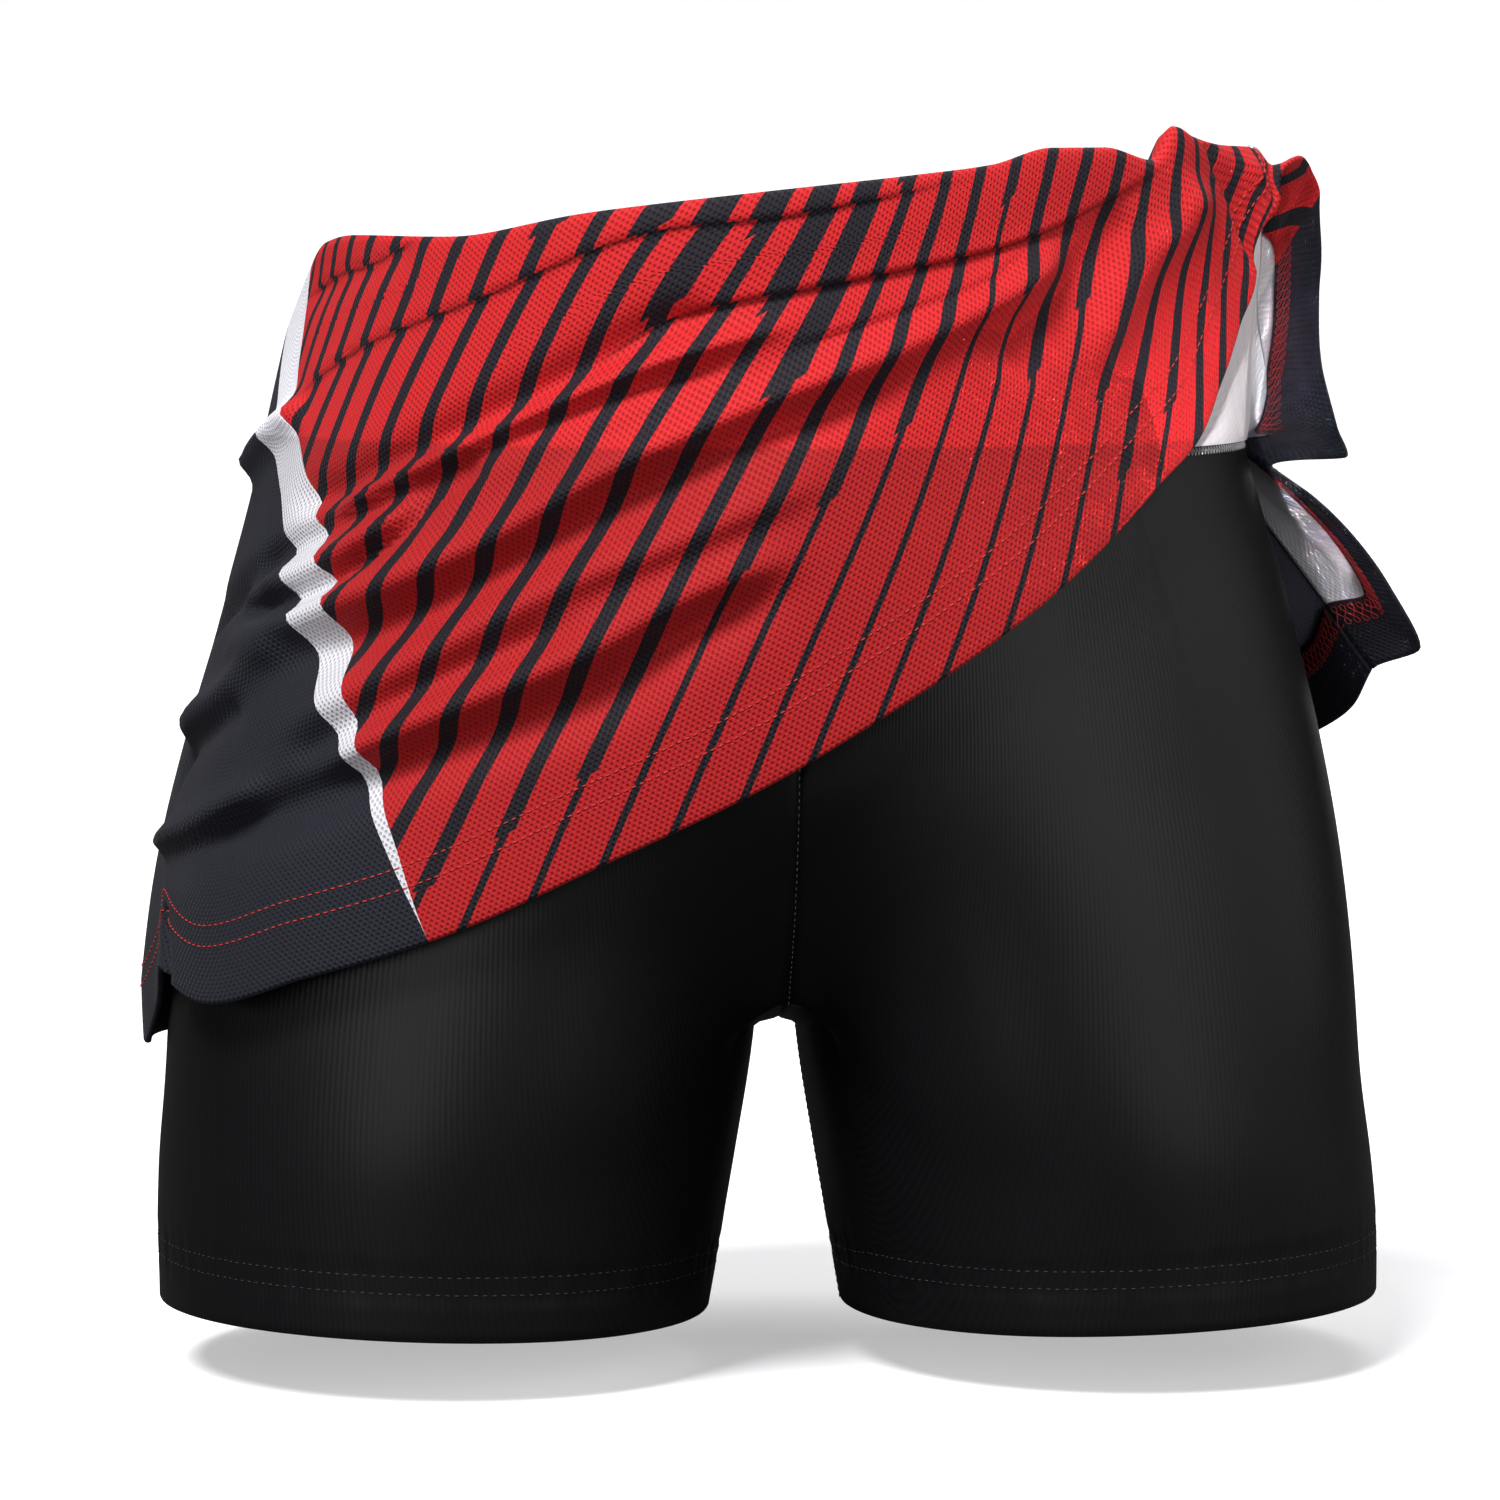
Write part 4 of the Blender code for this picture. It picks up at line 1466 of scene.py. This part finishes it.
@dataclass
class ShortsHalf:
    """One half of the shorts: half the trunk and one whole leg, with its hem turned in."""

    node: str
    side: Side
    trunk: Trunk
    flat: tuple[float, float] = (0.62, 0.29)
    area: float = 0.16
    wall: float = 0.7
    waist_gap: float = 0.06
    seam_dip: float = 0.005
    seam_width: float = 3.4
    half_columns: int = 176
    inseam_columns: int = 48
    trunk_rows: int = 48
    leg_rows: int = 44
    crotch_drop: float = 10.5
    hem_rise: float = 3.5
    crotch_blend: float = 0.03
    outer_blend: float = 0.5
    ease_height: float = 34.0
    ease_steps: int = 160
    row_crowding: float = 1.25
    flat_radius: float = 150.0
    hem_depth: float = 22.0
    hem_roll: float = 0.9
    hem_rows: int = 8
    roll_steps: int = 4
    needle_lines: tuple[float, float] = (14.6, 20.2)
    needle_width: float = 1.6
    drawn_in: float = 0.5
    needle_ripple: float = 0.16
    hem_ripple: float = 0.14
    ripple_middle: float = 17.0
    ripple_width: float = 9.0
    needle_lift: float = 0.08
    seam_lift: float = 0.1
    overlock_lift: float = 0.2
    overlock_place: float = 0.25
    table: SmoothTable = field(default_factory=lambda: SmoothTable(LEG))

    def trunk_ring(self, z: float) -> np.ndarray:
        """List the points at one height, from centre front round the side to centre back."""
        turn = np.linspace(0, 180, self.half_columns + 1)
        row, across, along, depth = self.trunk.section(turn, np.full_like(turn, z))
        cleft = np.where(along > 0, row.front_cleft, row.back_cleft)
        x = row.half_width * across
        y = -depth * along * (1 - cleft * np.exp(-((x / self.trunk.cleft_width) ** 2)))
        y *= 1 - self.seam_dip * np.exp(-((x / self.seam_width) ** 2))
        return np.stack([np.maximum(x, 0.0), y, np.full_like(x, z)], axis=-1)

    def crotch_line(self, back: np.ndarray, front: np.ndarray) -> np.ndarray:
        """List the points of the crotch seam between its two ends on the middle line."""
        share = np.linspace(0, 1, self.inseam_columns + 1)[1:-1, None]
        line = back + (front - back) * share
        line[:, 2] -= self.crotch_drop * np.sin(math.pi * share[:, 0])
        return line

    def leg_ring(self, start: np.ndarray, share: float) -> np.ndarray:
        """Carry the crotch level's points down the leg, share 0 to 1 of the way to the hem."""
        hem = self.trunk.hem_z + self.hem_rise * smooth_step(start[:, 0] / TRUNK[0].half_width)
        z = start[:, 2] + (hem - start[:, 2]) * share
        row = self.table.at(z)
        half_width = (row.outer - row.inner) / 2
        centre = (row.outer + row.inner) / 2
        depth = np.where(start[:, 1] < 0, row.front, row.back)
        angle = np.arctan2((start[:, 0] - centre) / half_width, -start[:, 1] / depth)
        round_leg = np.stack([centre + half_width * np.sin(angle), -depth * np.cos(angle)], axis=-1)
        from_crotch = smooth_step(start[:, 0] / self.trunk.cleft_width)
        blend_length = self.crotch_blend + self.outer_blend * from_crotch
        blend = smooth_step(share / blend_length)[:, None]
        level = start[:, :2] * (1 - blend) + round_leg * blend
        return np.concatenate([level, z[:, None]], axis=1)

    def mirrored(self, points: np.ndarray) -> np.ndarray:
        """Put points of the +X half on this half's side."""
        x = self.trunk.fuller(points[..., 0] * self.side.value, points[..., 2])
        return np.stack([x, points[..., 1], points[..., 2]], axis=-1)

    def lay_out(self) -> None:
        """Work out both grids: the half trunk, and the leg's closed rings."""
        heights = np.linspace(0, self.trunk.crotch_z, self.trunk_rows + 1) - self.waist_gap / 2
        trunk = np.stack([self.trunk_ring(z) for z in heights])
        level = np.concatenate([trunk[-1], self.crotch_line(trunk[-1][-1], trunk[-1][0])])
        shares = np.linspace(0, 1, self.leg_rows + 1) ** self.row_crowding
        leg = np.stack([self.leg_ring(level, share) for share in shares])
        self.ease_crotch_level(trunk, leg)
        self.trunk_points = self.mirrored(trunk)
        self.leg_points = self.mirrored(leg)
        self.leg_normals = grid_normals(self.leg_points, closed=True) * self.side.value
        fall = np.linalg.norm(np.diff(self.leg_points, axis=0), axis=2)
        self.up = np.zeros(self.leg_points.shape[:2])
        self.up[:-1] = np.cumsum(fall[::-1], axis=0)[::-1]

    def ease_crotch_level(self, trunk: np.ndarray, leg: np.ndarray) -> None:
        """Round off the change of form at the crotch level, away from the crotch itself."""
        width = self.half_columns + 1
        columns = np.concatenate([trunk, leg[1:, :width]])
        near = np.exp(-(((columns[..., 2] - self.trunk.crotch_z) / self.ease_height) ** 2))
        pull = 0.5 * (near * smooth_step(columns[..., 0] / self.trunk.cleft_width))[1:-1, :, None]
        for _ in range(self.ease_steps):
            middle = (columns[:-2] + columns[2:]) / 2
            columns[1:-1] += (middle - columns[1:-1]) * pull
        trunk[:] = columns[: len(trunk)]
        leg[0, :width] = trunk[-1]
        leg[1:, :width] = columns[len(trunk):]

    def pucker(self) -> np.ndarray:
        """Work out how the hem's sewing draws the cloth in, in fine uneven ripples."""
        count = self.leg_points.shape[1]
        place = np.arange(count) * 2 * math.pi / count
        ripple = sum(wave.height * np.sin(place * wave.count + wave.phase) for wave in RIPPLES)
        from_lines = [(self.up - line) / self.needle_width for line in self.needle_lines]
        sewn = sum(np.exp(-(distance**2)) for distance in from_lines)
        hem = np.exp(-(((self.up - self.ripple_middle) / self.ripple_width) ** 2))
        drawn = self.needle_ripple * ripple - self.drawn_in
        return sewn * drawn + hem * self.hem_ripple * ripple

    def build(self) -> bpy.types.Object:
        """Make the half's shell: its trunk and leg in one mesh."""
        self.lay_out()
        leg = self.leg_points + self.leg_normals * self.pucker()[..., None]
        self.puckered = leg
        normals = self.leg_normals[-1]
        down = unit(leg[-1] - leg[-2])
        angles = np.linspace(0, math.pi, self.roll_steps + 1)[1:]
        roll = rolled(leg[-1], down, normals, self.hem_roll, angles)
        levels = np.linspace(0, self.hem_depth, self.hem_rows + 1)[1:]
        turned = [self.at_height(leg, height) - normals * 2 * self.hem_roll for height in levels]
        piece = self.shell(self.trunk_points, np.concatenate([leg, roll, np.stack(turned)]))
        thicken(piece, self.wall, 0)
        settle(piece, [self.node])
        return piece

    def at_height(self, leg: np.ndarray, height: float) -> np.ndarray:
        """Read the leg's rings at a distance up from the hem."""
        row = int(np.searchsorted(-self.up[:, 0], -height))
        above, below = self.up[row - 1, 0], self.up[row, 0]
        share = (above - height) / (above - below)
        return leg[row - 1] * (1 - share) + leg[row] * share

    def shell(self, trunk: np.ndarray, leg: np.ndarray) -> bpy.types.Object:
        """Join the trunk's open rows and the leg's closed rings in one open surface."""
        width = self.half_columns + 1
        vertices = np.concatenate([trunk.reshape(-1, 3), leg[0, width:], leg[1:].reshape(-1, 3)])
        upper = grid_faces(len(trunk), width)
        lower = grid_faces(len(leg), leg.shape[1], closed=True) + self.trunk_rows * width
        faces = np.concatenate([upper, lower])
        if self.side is Side.RIGHT:
            faces = faces[:, ::-1]
        turn = np.degrees(np.arctan2(vertices[:, 0], -vertices[:, 1]))
        across = np.abs(turn) * math.radians(1) * self.flat_radius
        maps = {"cloth": np.stack([across, vertices[:, 2]], axis=-1)}
        return surface(self.node + "_cloth", vertices, faces, maps, [LYCRA])

    def sew(self) -> list[bpy.types.Object]:
        """Sew the leg's hem and inseam, the seam on the middle line and the one at the waist."""
        sewn = [
            LEG_NEEDLES.work(self.node + "_hem_stitches", self.hem_lines()),
            SEAM_NEEDLES.work(self.node + "_seam_stitches", self.seam_lines()),
            OVERLOCK.work(self.node + "_waist_overlock", [self.waist_line()]),
        ]
        for piece in sewn:
            settle(piece)
        return sewn

    def hem_lines(self) -> list[Line]:
        """Follow the puckered hem round the leg, once for each needle."""
        out = self.leg_normals[-1]
        across = np.tile([0.0, 0.0, 1.0], (len(out), 1))
        rings = [self.at_height(self.puckered, up) for up in self.needle_lines]
        return [Line((ring + out * self.needle_lift) * MM, across, out, True) for ring in rings]

    def seam_lines(self) -> list[Line]:
        """Follow the inseam down the leg, and on one half the middle seam, front and back."""
        middle = self.half_columns + 1 + self.inseam_columns // 2
        runs = [(self.puckered[1:, middle], self.leg_normals[1:, middle])]
        if self.side is Side.LEFT:
            for column, way in ((0, -1.0), (-1, 1.0)):
                points = self.trunk_points[2:, column] * np.array([0.0, 1.0, 1.0])
                runs.append((points, np.tile([0.0, way, 0.0], (len(points), 1))))
        lines = []
        for points, out in runs:
            across = unit(np.cross(np.gradient(points, axis=0), out))
            lines.append(Line((points + out * self.seam_lift) * MM, across, out))
        return lines

    def waist_line(self) -> Line:
        """Follow the waist seam, just below its edge."""
        first, second = self.trunk_points[:2]
        points = first * (1 - self.overlock_place) + second * self.overlock_place
        down = second - first
        out = unit(np.cross(np.gradient(points, axis=0), down)) * -self.side.value
        return Line((points + out * self.overlock_lift) * MM, unit(down), out)

    def declare(self, piece: bpy.types.Object, sewn: Sequence[bpy.types.Object]) -> None:
        """Do nothing: this half's cut is not stated."""


# ---------------------------------------------------------------------------------------------
# The waistband


@dataclass
class Waistband:
    """The elastic band, a knitted rib all round."""

    trunk: Trunk
    height: float = 50.0
    wall: float = 2.2
    waist_gap: float = 0.06
    ribs: int = 270
    columns_per_rib: int = 4
    rib_height: float = 0.22
    rows: int = 16
    edge: float = 1.4
    flat_radius: float = 120.0
    flat: tuple[float, float] = (0.70, 0.05)

    def build(self) -> bpy.types.Object:
        """Make the band's shell."""
        columns = self.ribs * self.columns_per_rib
        turn = np.linspace(-180, 180, columns, endpoint=False)[None, :]
        z = np.linspace(self.height, self.waist_gap / 2, self.rows + 1)[:, None]
        turn, z = np.broadcast_arrays(turn, z)
        rib = np.cos(np.radians(turn) * self.ribs) * self.rib_height
        below_edge = smooth_step((self.height - z) / self.edge) * smooth_step(z / self.edge)
        points = self.trunk.place(turn, z, (rib - self.rib_height) * below_edge)
        maps = {"cloth": np.stack([np.radians(turn) * self.flat_radius, z], axis=-1)}
        faces = grid_faces(*z.shape, closed=True)
        piece = surface("waistband_cloth", points, faces, maps, [ELASTIC])
        thicken(piece, self.wall, 0)
        settle(piece, ["waistband"])
        return piece

    def declare(self, piece: bpy.types.Object) -> None:
        """Do nothing: the band's cut is not stated."""


# ---------------------------------------------------------------------------------------------
# The studio


TARGET = (-0.00775, 0.0, -0.096)


@dataclass
class Lamp:
    """One soft light: where it stands, how large and strong it is, and what it is turned to."""

    name: str
    place: tuple[float, float, float]
    size: float
    watts: float
    target: tuple[float, float, float] = TARGET
    spread: float = 180.0
    shines: bool = True


@dataclass
class Studio:
    """The pale floor, the soft lights and the camera."""

    azimuth: float = -4.0
    elevation: float = 5.3
    distance: float = 2.7
    frame_width: float = 0.465
    sensor: float = 36.0
    floor_z: float = -0.286
    floor_size: float = 90.0
    far_clip: float = 200.0
    ambient: float = 0.025
    sun_strength: float = 4.25
    sun_width: float = 20.0
    sun_place: tuple[float, float, float] = (-1.15, -1.7, 2.6)
    lamps: tuple[Lamp, ...] = (
        Lamp("left_front", (-1.3, -2.3, -0.25), 1.5, 27.0),
        Lamp("right_front", (1.5, -2.2, 0.3), 1.7, 23.0),
        Lamp("left", (-2.3, -0.6, 0.8), 1.8, 6.0),
        Lamp("right", (2.2, -0.3, 0.5), 2.4, 14.0),
        Lamp("back", (0.3, 1.6, 3.0), 2.6, 70.0),
        Lamp("back_low", (0.6, 3.0, 0.6), 2.0, 9.0),
        Lamp("inside_flap", (-0.5, -2.4, -0.1), 0.1, 0.065, (0.165, 0.02, 0.0), 3.0, False),
    )

    def build(self) -> None:
        """Set the whole studio up."""
        self.camera()
        self.floor()
        self.lights()
        self.surroundings()

    def camera(self) -> None:
        """Put the camera at the photograph's angle."""
        data = bpy.data.cameras.new("camera")
        data.sensor_width = self.sensor
        data.lens = self.sensor * self.distance / self.frame_width
        data.clip_end = self.far_clip
        azimuth, elevation = math.radians(self.azimuth), math.radians(self.elevation)
        level = math.cos(elevation)
        back = Vector(
            (math.sin(azimuth) * level, -math.cos(azimuth) * level, math.sin(elevation))
        )
        camera = add("camera", data)
        camera.location = Vector(TARGET) + back * self.distance
        camera.rotation_euler = (-back).to_track_quat("-Z", "Y").to_euler()
        bpy.context.scene.camera = camera

    def floor(self) -> None:
        """Lay the floor."""
        half = self.floor_size / 2
        corners = [(-half, -half), (half, -half), (half, half), (-half, half)]
        mesh = bpy.data.meshes.new("floor")
        mesh.from_pydata([(x, y, self.floor_z) for x, y in corners], [], [(0, 1, 2, 3)])
        mesh.materials.append(FLOOR.material())
        add("floor", mesh)

    def lights(self) -> None:
        """Hang the lights, each turned to the garment."""
        sun = bpy.data.lights.new("key", "SUN")
        sun.energy = self.sun_strength
        sun.angle = math.radians(self.sun_width)
        self.hang(sun, self.sun_place, TARGET)
        for lamp in self.lamps:
            data = bpy.data.lights.new(lamp.name, "AREA")
            data.size = lamp.size
            data.energy = lamp.watts
            data.spread = math.radians(lamp.spread)
            light = self.hang(data, lamp.place, lamp.target)
            if not lamp.shines:
                light.visible_glossy = False
                data.cycles.max_bounces = 0

    def hang(
        self, data: bpy.types.Light, place: Sequence[float], target: Sequence[float]
    ) -> bpy.types.Object:
        """Put a light at a place, turned to its target."""
        light = add(data.name, data)
        light.location = place
        towards = Vector(target) - Vector(place)
        light.rotation_euler = towards.to_track_quat("-Z", "Y").to_euler()
        return light

    def surroundings(self) -> None:
        """Give the room its even light, and the picture its plain colours."""
        world = bpy.data.worlds.new("studio")
        world.use_nodes = True
        graph = Graph(world.node_tree)
        strength = graph.from_camera() * (1.0 - self.ambient) + self.ambient
        background = world.node_tree.nodes["Background"]
        background.inputs["Color"].default_value = (1.0, 1.0, 1.0, 1.0)
        graph.feed(background, "Strength", strength)
        bpy.context.scene.world = world
        bpy.context.scene.view_settings.view_transform = "Standard"


def main() -> None:
    """Dress the garment and set up its studio."""
    logging.basicConfig(level=logging.INFO, format="%(name)s: %(message)s")
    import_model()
    Studio().build()

    trunk = Trunk()
    form = SkirtForm(trunk)
    front = SkirtPanel(
        "skirt_front", "printed_mesh", -106, 113, PRINTED, PRINTED_REVERSE,
        Held.FOLDED, (0.80, 0.30), 0.152, form,
    )
    back = SkirtPanel(
        "skirt_back", "black_mesh", 113, -106, BLACK, BLACK_REVERSE,
        Held.HUNG, (0.54, 0.30), 0.122, form, 8,
    )
    halves = [
        ShortsHalf("shorts_left", Side.LEFT, trunk),
        ShortsHalf("shorts_right", Side.RIGHT, trunk),
    ]
    for part in (front, back, *halves):
        piece = part.build()
        part.declare(piece, part.sew())
    band = Waistband(trunk)
    band.declare(band.build())


if __name__ == "__main__":
    main()
